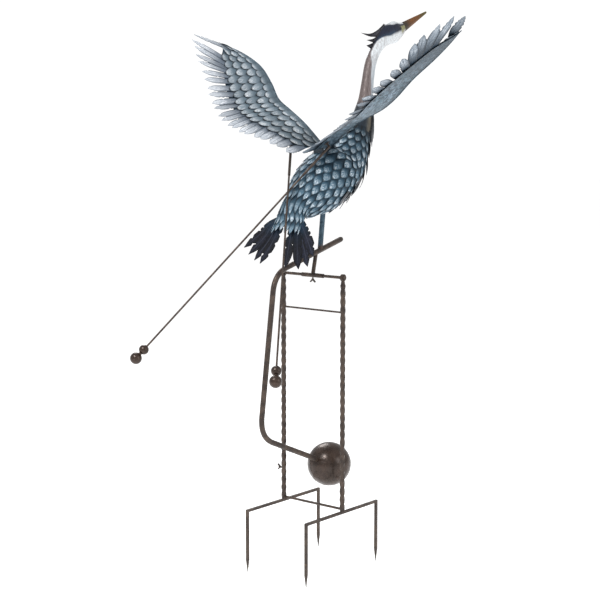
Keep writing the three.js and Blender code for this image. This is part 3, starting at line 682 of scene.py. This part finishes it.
def coat_at(share, angle):
    """The paint at a place on the skin; angle is 0 at the throat and pi at the nape."""
    angle = abs(angle)
    colour = DEEP.lerp(BELLY, ease(0.3 - share, 0, 0.1) * ease(0.75 - angle, 0, 0.2))
    colour = colour.lerp(MOSS, within(share, 0.4, 0.5, 0.03) * (1 - ease(angle, 1.4, 2.0)))
    neck = ease(share, 0.47, 0.53)
    colour = colour.lerp(TAUPE.lerp(BROWN, 0.55 * ease(angle, 1.3, 2.6)), neck)
    pale_side = 1.75 + 0.5 * ease(share, 0.53, 0.64) + 0.75 * ease(share, 0.63, 0.69)
    pale = GREY_WHITE.lerp(WHITE, ease(share, 0.58, 0.72))
    colour = colour.lerp(pale, neck * (1 - ease(angle, pale_side - 0.35, pale_side + 0.1)))
    nape_from = 2.95 - 1.4 * ease(share, 0.7, 0.82)
    mask = NAVY.lerp(SLATE_BLUE, 0.7 * within(share, 0.74, 0.86, 0.03) * (1 - ease(angle, nape_from, nape_from + 0.6)))
    colour = colour.lerp(mask, ease(share, 0.66, 0.74) * ease(angle, nape_from - 0.08, nape_from + 0.12))
    crown_from = 3.2 - 0.76 * ease(share, 0.79, 0.87)
    colour = colour.lerp(WHITE, ease(share, 0.81, 0.86) * ease(angle, crown_from - 0.08, crown_from + 0.08))
    lores = ease(share, 0.915, 0.94) * within(angle, 1.2, 2.1, 0.12)
    colour = colour.lerp(OLIVE, lores)
    line_at = 0.885 + 0.065 * ease(angle, 0.0, 1.3)
    throat = 1 - ease(angle, 1.25, 1.5)
    colour = colour.lerp(POUCH, 0.8 * throat * ease(share, line_at, line_at + 0.01))
    return colour.lerp(TAUPE, 0.9 * throat * within(share, line_at - 0.004, line_at + 0.004, 0.004))


# %% Skin
bird = new_piece()
coat_layer = bird.verts.layers.float_color.new("coat")
shares = [i / SKIN_RINGS for i in range(SKIN_RINGS + 1)]
rings = []
for share in shares:
    size = smooth_line(BIRD_SIZE, share)
    tuck = 1.6 * (1 - ease(share, 0.42, 0.52))
    rings.append(ring_at(smooth_line(BIRD_LINE, share), heading(BIRD_LINE, share), size.x - tuck, size.y - tuck))
skin = loft(bird, rings, SKIN_SIDES, shares, close_start=False)
along_layer = bird.verts.layers.float["along"]
across_layer = bird.verts.layers.float["across"]
for vert in bird.verts:
    vert[coat_layer] = (*coat_at(vert[along_layer], vert[across_layer]), 1.0)
give_thickness(bird, skin, SKIN_THICK)
print("skin faces:", len(bird.faces))

# %% Rows of body feathers
ROW_GAP = 30
FIRST_TIP = -42
LAST_TIP = 420
BODY_FEATHER = 60
ROUND = 17
BELLY_BARE = 0.5
BACK_FROM = 1.45
draw = random.Random(7)

rows = int((LAST_TIP - FIRST_TIP) / ROW_GAP) + 1
scale_faces = []
for row in range(rows):
    fade = ease(row, rows - 5, rows)
    length = BODY_FEATHER * (1 - 0.3 * fade)
    count = ROUND - 3 * (row > rows - 4)
    half = math.pi / count * 1.14
    for i in range(count):
        middle = 2 * math.pi * (i + 0.5 * (row % 2)) / count
        from_belly = min(middle, 2 * math.pi - middle)
        tip_at = FIRST_TIP + row * ROW_GAP + draw.uniform(-6, 6)
        middle += draw.uniform(-0.06, 0.06) * half
        tone = draw.random()
        if from_belly < (BACK_FROM if tip_at < -3 else BELLY_BARE if row < rows * 0.7 else 0):
            continue

        def lie(across, along, rise, middle=middle, tip_at=tip_at, half=half, length=length):
            lift = -1.6 + 5.2 * along ** 1.4 + 1.3 * rise * math.sin(math.pi * min(along + 0.12, 1) * 0.9)
            return skin_point(tip_at + length * (1 - along), middle + across * half, lift)

        scale_faces += feather(bird, lie, lance_outline, 7, tone=tone, place=share_at(tip_at), material=1)
print("body feathers:", len(scale_faces) // 42)

# %% Breast plumes
PLUMES_IN_FRINGE = 78
PLUME_LENGTH = 72
PLUME_HALF = 4.2
plume_faces = []
for i in range(PLUMES_IN_FRINGE):
    down = i / (PLUMES_IN_FRINGE - 1)
    root_at = 560 - 330 * down
    middle = ((i * 0.618) % 1 - 0.5) * 2.3
    length = PLUME_LENGTH * draw.uniform(0.8, 1.15)
    stand = draw.uniform(7.0, 15.0)
    slim = (0.085 + 0.05 * (1 - down)) * draw.uniform(0.8, 1.2)
    roll = draw.uniform(-1.2, 1.2)

    def lie(across, along, rise, middle=middle, root_at=root_at, length=length, stand=stand, slim=slim, roll=roll):
        lift = -1 + stand * along ** 0.9 + 0.5 * rise + across * PLUME_HALF * math.sin(roll)
        return skin_point(root_at - length * along, middle + across * slim * math.cos(roll), lift)

    plume_faces += feather(bird, lie, blade_outline, 9, 4, tone=draw.random(), place=share_at(root_at), material=2)
print("plume faces:", len(plume_faces))

# %% Bird body done
give_thickness(bird, scale_faces + plume_faces, 0.7)
end_piece(bird, "heron_shell", "rocker", "body_sheet", [COAT, SCALES, PLUMES], "bird_body")

# %% Eyes
EYE_SHARE = 0.915
EYE_ANGLE = 1.83
EYE_RADIUS = 3.6
for side, name in ((1, "eye_right"), (-1, "eye_left")):
    eye = new_piece()
    centre = bird_point(EYE_SHARE, side * EYE_ANGLE, -1.6)
    out = (bird_point(EYE_SHARE, side * EYE_ANGLE, 2) - centre).normalized()
    dome = [(EYE_RADIUS * math.cos(turn), EYE_RADIUS * math.sin(turn)) for turn in
            (math.pi * k / 16 for k in range(17))]
    turned(eye, dome, centre, out, 24)
    rim = [(1.5 + 0.9 * math.cos(turn), EYE_RADIUS + 0.5 + 0.9 * math.sin(turn)) for turn in
           (2 * math.pi * k / 10 for k in range(10))]
    turned(eye, rim, centre, out, 28, closed=True)
    end_piece(eye, name, "rocker", "body_sheet", [EYE_ENAMEL])

# %% [markdown]
# ## Bill and crest
# The bill is a cone of oval rings that ends in a blunt tip. Each crest plume is a flattened blade between an
# upper and a lower edge, so its rings lie halfway between the two edges and are as deep as the gap.

# %% Bill
BILL_TIP = in_plane(602.6, 1586.6)
BILL_HALF = (11, 17)
head_along = heading(BIRD_LINE, 1)
bill_root = smooth_line(BIRD_LINE, 1) + head_along * 0.3
bill = new_piece()
rings, places = [], []
for i in range(33):
    share = i / 32
    size = (1 - 0.8 * share) * math.sqrt(max(1 - (max(share - 0.95, 0) / 0.05) ** 2, 0.02))
    along = head_along.lerp((BILL_TIP - bill_root).normalized(), min(share / 0.15, 1)).normalized()
    rings.append(ring_at(bill_root.lerp(BILL_TIP, share), along, BILL_HALF[0] * size, BILL_HALF[1] * size))
    places.append(share)
loft(bill, rings, 32, places)
angle_layer = bill.verts.layers.float["across"]
for vert in bill.verts:
    vert[angle_layer] = math.cos(vert[angle_layer])
end_piece(bill, "bill_cone", "rocker", "bill_sheet", [BILL_PAINT], "bill")

# %% Crest
CREST = [
    ([(366, 1537), (330, 1514), (290, 1500), (238, 1500)], [(372, 1512), (332, 1494), (290, 1490), (238, 1500)], 0),
    ([(350, 1520), (318, 1488), (267, 1478)], [(352, 1494), (312, 1474), (267, 1478)], 1.2),
    ([(345, 1508), (318, 1478), (270, 1461)], [(358, 1494), (338, 1470), (306, 1451), (270, 1461)], -1.2),
]
crest = new_piece()
for upper, lower, aside in CREST:
    upper_line = [in_plane(y, z, aside) for y, z in upper]
    lower_line = [in_plane(y, z, aside) for y, z in lower]
    middle_line = [smooth_line(upper_line, k / 28).lerp(smooth_line(lower_line, k / 28), 0.5) for k in range(29)]
    rings = []
    for k in range(29):
        share = k / 28
        gap = (smooth_line(upper_line, share) - smooth_line(lower_line, share)).length / 2
        rings.append(ring_at(middle_line[k], heading(middle_line, share), 1.7 * (1 - share) ** 0.6 + 0.25, max(gap, 0.35)))
    loft(crest, rings, 16)
note(crest, crest.verts, tone=0.5)
angle_layer = crest.verts.layers.float["across"]
for vert in crest.verts:
    vert[angle_layer] = math.cos(vert[angle_layer])
end_piece(crest, "crest_plumes", "rocker", "crest_sheet", [CREST_BLACK], "crest")

# %% [markdown]
# ## Tail
# The tail is a fan of eight cut feathers under the rump, parted in the middle. Their edges are snipped with
# small notches. Each lies along a bent line from the rump, and every second one lies a sheet higher.

# %% Tail feathers
TAIL_APEX = in_plane(-88, 956)
TAIL_SLOPE = math.radians(60.3)
TAIL_DOWN = in_plane(-math.cos(TAIL_SLOPE), -math.sin(TAIL_SLOPE))
TAIL_OUT = in_plane(-math.sin(TAIL_SLOPE), math.cos(TAIL_SLOPE))
TAIL_ROOT = (44, 36)
TAIL_KNEE = (62, 84)
TAIL_WIDEST = 46
TAIL_FEATHERS = [(-45.5, 203), (-35, 201), (-25, 201), (-16.5, 200), (13.5, 203), (26.5, 223), (34.5, 228), (42, 206)]
TAIL_HALF = 17.5
tail = new_piece()
tail_faces = []
for i, (degrees, reach) in enumerate(TAIL_FEATHERS):
    turn = math.radians(degrees)
    side = degrees / TAIL_WIDEST
    knee = TAIL_KNEE[1] * side * (0.92 if side < 0 else 0.78)
    stops = [(TAIL_ROOT[0] - 14, TAIL_ROOT[1] * side * 0.9), (TAIL_KNEE[0], knee),
             (reach * 0.62 * math.cos(turn), reach * 0.62 * math.sin(turn) * 1.04),
             (reach * math.cos(turn), reach * math.sin(turn))]
    spine = [TAIL_APEX + TAIL_DOWN * down + SIDEWAYS * across for down, across in stops]
    nicks = {(row + draw.choice((0, 1)), hand) for row in (10, 15, 20, 25) for hand in (-1, 1) if draw.random() < 0.8}

    def lie(across, along, rise, spine=spine, level=i % 2):
        along_spine = heading(spine, along)
        aside = TAIL_OUT.cross(along_spine)
        lift = 0.5 + 1.1 * level + 1.1 * rise
        return smooth_line(spine, along) + aside * (across * TAIL_HALF) + TAIL_OUT * lift

    tail_faces += feather(tail, lie, fan_outline, 30, nicks=nicks, tone=draw.random(), place=abs(side))
give_thickness(tail, tail_faces, 0.9)
end_piece(tail, "tail_fan", "rocker", "tail_sheet", [TAIL_BLACK], "tail")

# %% [markdown]
# ## Wings
# Each wing is one sheet that hinges on a barrel. Its underside is smooth and hammered, and ends in a fold
# that drops a little, with a dark line of painted shade along it. On top lie five rows of small coverts, and
# beyond the fold a fringe of long flight feathers. Places on the wing are a share of its span, and a share
# from the leading edge (0) over the fold (1) to the feather tips (2). The left wing is the same wing mirrored.

# %% Places on a wing
WING_ORIGIN = Vector((40, 76, 1161.5))
SPAN = Vector((0.8235, -0.0638, 0.5638)).normalized()
CHORD = Vector((0.0594, -0.978, -0.1975)).normalized()
UPPER = CHORD.cross(SPAN).normalized()
LEADING = [Vector(p) for p in [(-31, 4, 0), (78, -16, 4), (171, -44, -12), (230, -49, -13), (300, -74, 0),
                               (385, -99, 6), (469, -88, 7), (541, -52, 5)]]
FOLD = [Vector(p) for p in [(-33, 98, 6), (78, 124, -1), (171, 142, -13), (225, 139, -16), (287, 116, -8),
                            (370, 68, 1), (455, 14, 8), (553, -40, 5)]]
TIPS = [Vector(p) for p in [(-32, 169, 12), (64, 178, -6), (141, 209, -20), (206, 224, -23), (280, 210, -12),
                            (378, 154, 0), (487, 96, 12), (612, 2, 1)]]
HINGE_SLOT = 0.42
SLOT_INSET = 0.016


def fold_share(span):
    """Where the sheet's fold lies: it runs in to the leading edge before the wing's tip."""
    return 1 + 0.12 * within(span, 0.4, 0.74, 0.1) - 0.97 * min(max((span - 0.88) / 0.12, 0), 1)


def on_wing(span, chord):
    """A place on the wing's middle face, in the wing's own millimetres: along the span, back, and up."""
    span = min(max(span, 0), 1)
    front, fold, tip = (smooth_line(line, span) for line in (LEADING, FOLD, TIPS))
    return front.lerp(fold, chord) if chord <= 1 else fold.lerp(tip, chord - 1)


def wing_to_world(side, flat):
    """Side is 1 for the right wing and -1 for the left."""
    at = WING_ORIGIN + SPAN * flat.x + CHORD * flat.y + UPPER * flat.z
    return Vector((side * at.x, at.y, at.z))


def wing_point(side, span, chord, lift=0.0):
    return wing_to_world(side, on_wing(span, chord) + Vector((0, 0, lift)))


# %% The sheet, its rolled edge and the hinge barrel
SHEET_COLUMNS = 90
SHEET_ROWS = 22
SHEET_THICK = 0.8
HINGE = Vector((14, 78, 1147.5))
HINGE_AXIS = Vector((0, 0.98, 0.2)).normalized()
BARREL_LENGTH = 50
JOURNAL = 5


def wing_sheet(bm, side):
    before = set(bm.faces)
    verts = bmesh.ops.create_grid(bm, x_segments=SHEET_COLUMNS, y_segments=SHEET_ROWS, size=1.0)["verts"]
    for vert in verts:
        span, chord = (vert.co.x + 1) / 2, (vert.co.y + 1) / 2
        inset = SLOT_INSET if chord > HINGE_SLOT else 0.0
        span = inset + (1 - inset) * span
        droop = -2.2 * ease(chord, 0.8, 1.0) - 0.2
        note(bm, [vert], along=chord, place=span, across=0.5, tone=0.5)
        vert.co = wing_point(side, span, chord * fold_share(span), droop) * MM
    made = [face for face in bm.faces if face not in before]
    give_thickness(bm, made, SHEET_THICK)
    edge = [wing_point(side, k / 70, 0.0, -0.4) for k in range(71)]
    bead = [1.7 - 1.2 * ease(k / 70, 0.7, 0.95) for k in range(71)]
    rings = [ring_at(at, heading(edge, k / 70), bead[k], bead[k], UPPER) for k, at in enumerate(edge)]
    loft(bm, rings, 12)


def hinge_barrel(bm, side):
    start = Vector((side * HINGE.x, HINGE.y, HINGE.z))
    back = start - HINGE_AXIS * BARREL_LENGTH
    bar(bm, back, start, 4.5)
    bar(bm, back - HINGE_AXIS * JOURNAL, start + HINGE_AXIS * JOURNAL, 2.6, soften=0.4)


# %% Coverts and flight feathers
COVERT_ROWS = 4
COVERT_COLUMNS = 17
FLIGHT_COUNT = 22
FLIGHT_ROOT = 0.8
FLIGHT_HALF = 16
PAIR_SHIFT = 3
CURL = {1: 15, -1: 2}
SWEEP = {1: 38, -1: 16}
ROLL = {1: math.radians(20), -1: math.radians(3)}


def covert_rows(bm, side, rng):
    faces = []
    for row in range(COVERT_ROWS):
        tip = (row + 1.05) / COVERT_ROWS
        top = max(tip - 0.46, 0.015)
        for i in range(COVERT_COLUMNS):
            middle = (i + 0.6 + 0.5 * (row % 2)) / (COVERT_COLUMNS + 0.6)
            if middle > 0.985:
                continue
            half = 0.6 / COVERT_COLUMNS
            end = tip + rng.uniform(-0.03, 0.03)
            if fold_share(middle) < (0.6 if row > 2 else 0.3):
                continue

            def lie(across, along, rise, middle=middle, top=top, end=end, half=half):
                lift = 0.2 + 5.0 * along ** 2 + 1.2 * rise * math.sin(math.pi * min(along + 0.1, 1) * 0.9)
                chord = (top + (end - top) * along) * min(fold_share(middle), 1)
                return wing_point(side, middle + across * half, chord, lift)

            faces += feather(bm, lie, scale_outline, 7, tone=rng.random(), place=middle, material=0)
    return faces


def flight_feathers(bm, side, rng):
    """They lie in pairs, with a wedge of air between one pair and the next."""
    faces = []
    gap = 0.96 / (FLIGHT_COUNT - 1)
    for i in range(FLIGHT_COUNT):
        middle = 0.03 + gap * i
        outer = ease(middle, 0.86, 0.99)
        root = middle - 0.05 * ease(middle, 0.1, 0.4) - 0.42 * max(middle - 0.74, 0)
        start = on_wing(root, FLIGHT_ROOT * min(fold_share(root), 1) * (1 - 0.88 * ease(middle, 0.93, 0.99)))
        end = on_wing(middle, 2 - rng.uniform(0.0, 0.06))
        apart = (on_wing(middle + gap / 2, 2) - on_wing(middle - gap / 2, 2)).length
        half = min(0.5 * apart, FLIGHT_HALF) * (1 - 0.16 * outer)
        run = (end - start).normalized()
        aside = Vector((run.y, -run.x, 0)).normalized()
        shift = aside * (PAIR_SHIFT if i % 2 else -PAIR_SHIFT)
        nicks = {(row, hand) for row in (13, 16, 19, 21) for hand in (-1, 1) if rng.random() < 0.3 + 0.4 * outer}
        bent = (0.4 * ease(middle, 0.4, 0.6) + 0.6 * ease(middle, 0.7, 0.82)) * (1 - ease(middle, 0.95, 1.0))
        rise_to = CURL[side] * bent
        end.x += SWEEP[side] * bent
        roll = ROLL[side] * (ease(middle, 0.74, 0.84) + ease(middle, 0.95, 0.98))

        def lie(across, along, rise, start=start, end=end, half=half, aside=aside, shift=shift, level=i % 2,
                rise_to=rise_to, roll=roll):
            turn = roll * ease(along, 0.1, 0.55)
            lift = 0.6 + 0.6 * level + 0.6 * along + 0.8 * rise + rise_to * along ** 1.5
            lift += (1 - across) * half * math.sin(turn)
            flat = start.lerp(end, along) + aside * (across * half * math.cos(turn))
            flat += shift * along + Vector((0, 0, lift))
            return wing_to_world(side, flat)

        faces += feather(bm, lie, quill_outline, 24, nicks=nicks, nick=0.74, tone=0.2 + 0.8 * rng.random(),
                         place=middle, material=1)
    return faces


# %% Both wings
for side, hand in ((1, "right"), (-1, "left")):
    wing = new_piece()
    rng = random.Random(11)
    wing_sheet(wing, side)
    hinge_barrel(wing, side)
    for face in wing.faces:
        face.material_index = 2
    plumage = covert_rows(wing, side, rng) + flight_feathers(wing, side, rng)
    give_thickness(wing, plumage, 0.6)
    bmesh.ops.recalc_face_normals(wing, faces=wing.faces)
    up = Vector((side * UPPER.x, UPPER.y, UPPER.z))
    for face in wing.faces:
        if face.material_index == 1 and face.normal.dot(up) < -0.3:
            face.material_index = 3
    end_piece(wing, f"feathered_wing_{hand}", f"wing_{hand}_body", "wing_sheet",
              [COVERTS, FLIGHT, UNDERSIDE, FLIGHT_UNDER], f"wing_{hand}")

# %% [markdown]
# ## Rocker and balance weights
# The rocking tube is one bent tube. It is lofted along its straight runs and round bends. The ball is
# spun from an arc with a shallow weld seam, and so is each pair of balance balls with the neck between.

# %% Rocker tube
TUBE_RADIUS = 8.5
TUBE_BEND = 85
TUBE_CORNERS = [in_plane(139, 847), in_plane(-181.4, 762.4), in_plane(-250.5, 268.5)]
BALL_CENTRE = in_plane(84, 126)
BALL_RADIUS = 70.5
BEND_STEPS = 22


def tube_path():
    """Points and headings down the tube, from its front end to the ball."""
    inward = (BALL_CENTRE - TUBE_CORNERS[2]).normalized()
    corners = TUBE_CORNERS + [BALL_CENTRE - inward * (BALL_RADIUS - 1)]
    first = (corners[1] - corners[0]).normalized()
    path = [(corners[0] - first * TUBE_RADIUS * back, first, share) for back, share in ((0.95, 0.2), (0.85, 0.5), (0.55, 0.84))]
    path.append((corners[0], first, 1.0))
    for i in (1, 2):
        before = (corners[i] - corners[i - 1]).normalized()
        after = (corners[i + 1] - corners[i]).normalized()
        reach = TUBE_BEND * math.tan(before.angle(after) / 2)
        enter, leave = corners[i] - before * reach, corners[i] + after * reach
        for k in range(BEND_STEPS + 1):
            share = k / BEND_STEPS
            at = enter.lerp(corners[i], share).lerp(corners[i].lerp(leave, share), share)
            path.append((at, before.lerp(after, share).normalized(), 1.0))
    path.append((corners[3], inward, 1.0))
    return path


tube = new_piece()
loft(tube, [ring_at(at, along, TUBE_RADIUS * size, TUBE_RADIUS * size) for at, along, size in tube_path()], 28)
end_piece(tube, "bent_rocker_tube", "rocker", "bronze_steel", [BRONZE], "rocker_tube")

# %% Ball weight
SEAM_DEPTH = 0.7
SEAM_WIDTH = 0.02
ball = new_piece()
profile = []
for k in range(97):
    turn = math.pi * k / 96
    seam = SEAM_DEPTH * math.exp(-((turn - math.pi / 2) / SEAM_WIDTH) ** 2)
    radius = BALL_RADIUS - 0.05 - seam
    profile.append((radius * math.cos(turn), radius * math.sin(turn)))
turned(ball, profile, BALL_CENTRE, Vector((0, 0.35, 0.94)).normalized(), 80)
end_piece(ball, "ball_counterweight", "rocker", "ball_filled", [BALL_COAT], "ball_weight")

# %% Balance rods and their weights
ROD_LOW = Vector((-272.8, -479, 538))
ROD_RUN = Vector((263.8, 359.9, 469.2))
ROD_END = 1.29
ROD_APART = 10.5
ROD_RADIUS = 3
SOCKET_RADIUS = 4.2
SOCKET_LENGTH = 120
FOOT_RADIUS = 9
SMALL_BALL, END_BALL, NECK, BALLS_APART = 15, 18, 5, 35
CLEAR = 0.3


def balls_profile():
    """From the end ball's far pole, over the neck, to the small ball's near pole."""
    def arc(radius, middle, start, end, steps):
        turns = [start + (end - start) * k / steps for k in range(steps + 1)]
        return [(middle + radius * math.cos(turn), radius * math.sin(turn)) for turn in turns]
    end_neck, small_neck = math.asin(NECK / END_BALL), math.asin(NECK / SMALL_BALL)
    return arc(END_BALL, -BALLS_APART, math.pi, end_neck, 30) + arc(SMALL_BALL, 0, math.pi - small_neck, 0, 26)


for side, hand in ((1, "right"), (-1, "left")):
    flip = Vector((side, 1, 1))
    low = ROD_LOW + in_plane(side * ROD_APART, 0)
    along = ROD_RUN.normalized()
    end = low + ROD_RUN * ROD_END
    foot = end - UPPER * ((end - WING_ORIGIN).dot(UPPER) + CLEAR + 0.6)
    rod = new_piece()
    runs = [(low + along * (SMALL_BALL - 1), end, ROD_RADIUS), (end - along * SOCKET_LENGTH, end + along * 3, SOCKET_RADIUS),
            (end, foot, ROD_RADIUS + 0.5), (foot - UPPER * 2.4, foot, FOOT_RADIUS)]
    for start, stop, radius in runs:
        before = set(rod.faces)
        bar(rod, start * flip, stop * flip, radius)
        if radius > ROD_RADIUS:
            for face in set(rod.faces) - before:
                face.material_index = 1
    end_piece(rod, f"slim_rod_{hand}", f"wing_{hand}_body", "bronze_steel", [BRONZE, RUSTY], f"balance_rod_{hand}")
    weights = new_piece()
    turned(weights, balls_profile(), low * flip, (along * flip).normalized(), 40)
    end_piece(weights, f"paired_balls_{hand}", f"wing_{hand}_body", "bronze_steel", [BALL_COAT], f"balance_weight_{hand}")

# %% [markdown]
# ## Stand
# The poles are square bars twisted cold, one turn in about ten centimetres, so each is a four-sided loft
# whose rings turn as they rise, with the four long edges bevelled. The eye on top is a spun ring. The round
# rods and the pivot are plain bars with softened ends.

# %% Twisted poles
POLE_X = 120
POLE_SIDE = 12.4
POLE_TURN = 104
POLE_BOTTOM = 8.3
PIVOT_Z = 744
EYE_OUTER, EYE_BORE, EYE_HALF = 11, 5.4, 5
POLE_TOP = PIVOT_Z - EYE_OUTER + 2.5
POLE_RINGS = 190

for x, hand in ((-POLE_X, "left"), (POLE_X, "right")):
    pole = new_piece()
    rings = []
    for k in range(POLE_RINGS + 1):
        z = POLE_BOTTOM + (POLE_TOP - POLE_BOTTOM) * k / POLE_RINGS
        twist = Matrix.Rotation(2 * math.pi * (z - POLE_BOTTOM) / POLE_TURN, 4, "Z")
        reach = POLE_SIDE / math.sqrt(2) * (0.8 if k > POLE_RINGS - 4 else 1)
        rings.append(Matrix.Translation(Vector((x, 0, z)) * MM) @ twist @ Matrix.Diagonal((reach * MM, reach * MM, MM, 1)))
    loft(pole, rings, 4)
    corners = [edge for edge in pole.edges if abs(edge.verts[0].co.z - edge.verts[1].co.z) > 1 * MM]
    bmesh.ops.bevel(pole, geom=corners, offset=0.9 * MM, offset_type="OFFSET", segments=2, profile=0.5,
                    affect="EDGES", material=-1, clamp_overlap=True)
    lip = 1.0
    eye_profile = [(-EYE_HALF, EYE_BORE + lip), (-EYE_HALF, EYE_OUTER - lip), (-EYE_HALF + lip, EYE_OUTER),
                   (EYE_HALF - lip, EYE_OUTER), (EYE_HALF, EYE_OUTER - lip), (EYE_HALF, EYE_BORE + lip),
                   (EYE_HALF - lip, EYE_BORE), (-EYE_HALF + lip, EYE_BORE)]
    turned(pole, eye_profile, in_plane(0, PIVOT_Z, x), SIDEWAYS, 36, closed=True)
    end_piece(pole, f"twisted_pole_{hand}", "stand", "bronze_steel", [BRONZE], f"pole_{hand}")

# %% Cross rods, pivot bar and post
rod_end = POLE_X - POLE_SIDE / math.sqrt(2) + 1.5
for name, z, radius in (("cross_rod_lower", 15, 4), ("cross_rod_upper", 636, 3)):
    piece = new_piece()
    bar(piece, in_plane(0, z, -rod_end), in_plane(0, z, rod_end), radius)
    end_piece(piece, f"round_{name}", "stand", "bronze_steel", [BRONZE], name)

PIVOT_RADIUS = 4.75
CAP_RADIUS = 7.5
BAR_END = POLE_X + EYE_HALF
pivot = new_piece()
bar(pivot, in_plane(0, PIVOT_Z, -BAR_END - 2.5), in_plane(0, PIVOT_Z, BAR_END + 2.5), PIVOT_RADIUS)
for side in (-1, 1):
    bar(pivot, in_plane(0, PIVOT_Z, side * (BAR_END + 0.5)), in_plane(0, PIVOT_Z, side * (BAR_END + 3)), CAP_RADIUS)
end_piece(pivot, "capped_pivot_bar", "rocker", "bronze_steel", [BRONZE], "pivot_bar")

SLEEVE_RADIUS, SLEEVE_BORE, SLEEVE_HALF = 6.8, 5.3, 43
POST_RADIUS = 6.25
POST_TOP = in_plane(16, 814.5)
post = new_piece()
post_line = (POST_TOP - in_plane(0, PIVOT_Z)).normalized()
bar(post, in_plane(0, PIVOT_Z) + post_line * SLEEVE_BORE, POST_TOP, POST_RADIUS)
sleeve = [(-SLEEVE_HALF, SLEEVE_BORE), (-SLEEVE_HALF, SLEEVE_RADIUS - 0.4), (-SLEEVE_HALF + 0.4, SLEEVE_RADIUS),
          (SLEEVE_HALF - 0.4, SLEEVE_RADIUS), (SLEEVE_HALF, SLEEVE_RADIUS - 0.4), (SLEEVE_HALF, SLEEVE_BORE)]
turned(post, sleeve, in_plane(0, PIVOT_Z), SIDEWAYS, 32, closed=True)
end_piece(post, "post_and_sleeve", "rocker", "bronze_steel", [BRONZE], "post")

# %% Leg
LEG_RADIUS = 8.2
leg = new_piece()
bar(leg, in_plane(35.6, 819.5), in_plane(53, 962), LEG_RADIUS, sides=28)
end_piece(leg, "heron_leg", "rocker", "leg_tube", [LEG_PAINT], "leg")

# %% [markdown]
# The forks, screws and hinge plates are flat-sided on the real object too, so the frame's own solids stay,
# and only get the coat.

# %% Coat on the frame's own solids
KEPT = ("fork_left", "fork_right", "pole_screw_left", "sleeve_screw", "wing_bracket_front", "wing_bracket_rear")
for name in KEPT:
    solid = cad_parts[name]
    solid.data.materials.clear()
    # The wing brackets get the dark slate coat, darker than the bird's paint: painted shade under the wing roots.
    solid.data.materials.append(SLATE_COAT if "bracket" in name else BRONZE)
print("coated:", ", ".join(KEPT))

# %% Floor
FLOOR_Z = -197
FLOOR_SIZE = 30
FLOOR_GLOW = 0.4
floor_mesh = bmesh.new()
bmesh.ops.create_grid(floor_mesh, x_segments=2, y_segments=2, size=FLOOR_SIZE,
                      matrix=Matrix.Translation((0, 0, FLOOR_Z * MM)))
data = bpy.data.meshes.new("floor")
floor_mesh.to_mesh(data)
floor_mesh.free()
pale, floor_tree, floor_shader = finish_of("pale_floor", 0.0)
tint = blend(floor_tree, grain(floor_tree, 3), paint(244, 244, 244), paint(250, 250, 250))
dress(floor_tree, floor_shader, tint, 0.9, grain(floor_tree, 40), 0.1)
floor_shader.inputs["Emission Color"].default_value = (1, 1, 1, 1)
floor_shader.inputs["Emission Strength"].default_value = FLOOR_GLOW
data.materials.append(pale)
floor = bpy.data.objects.new("floor", data)
bpy.context.scene.collection.objects.link(floor)
floor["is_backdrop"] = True

# %% Sizes, and the end
low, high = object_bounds()
print("visual box:", low[:], high[:])
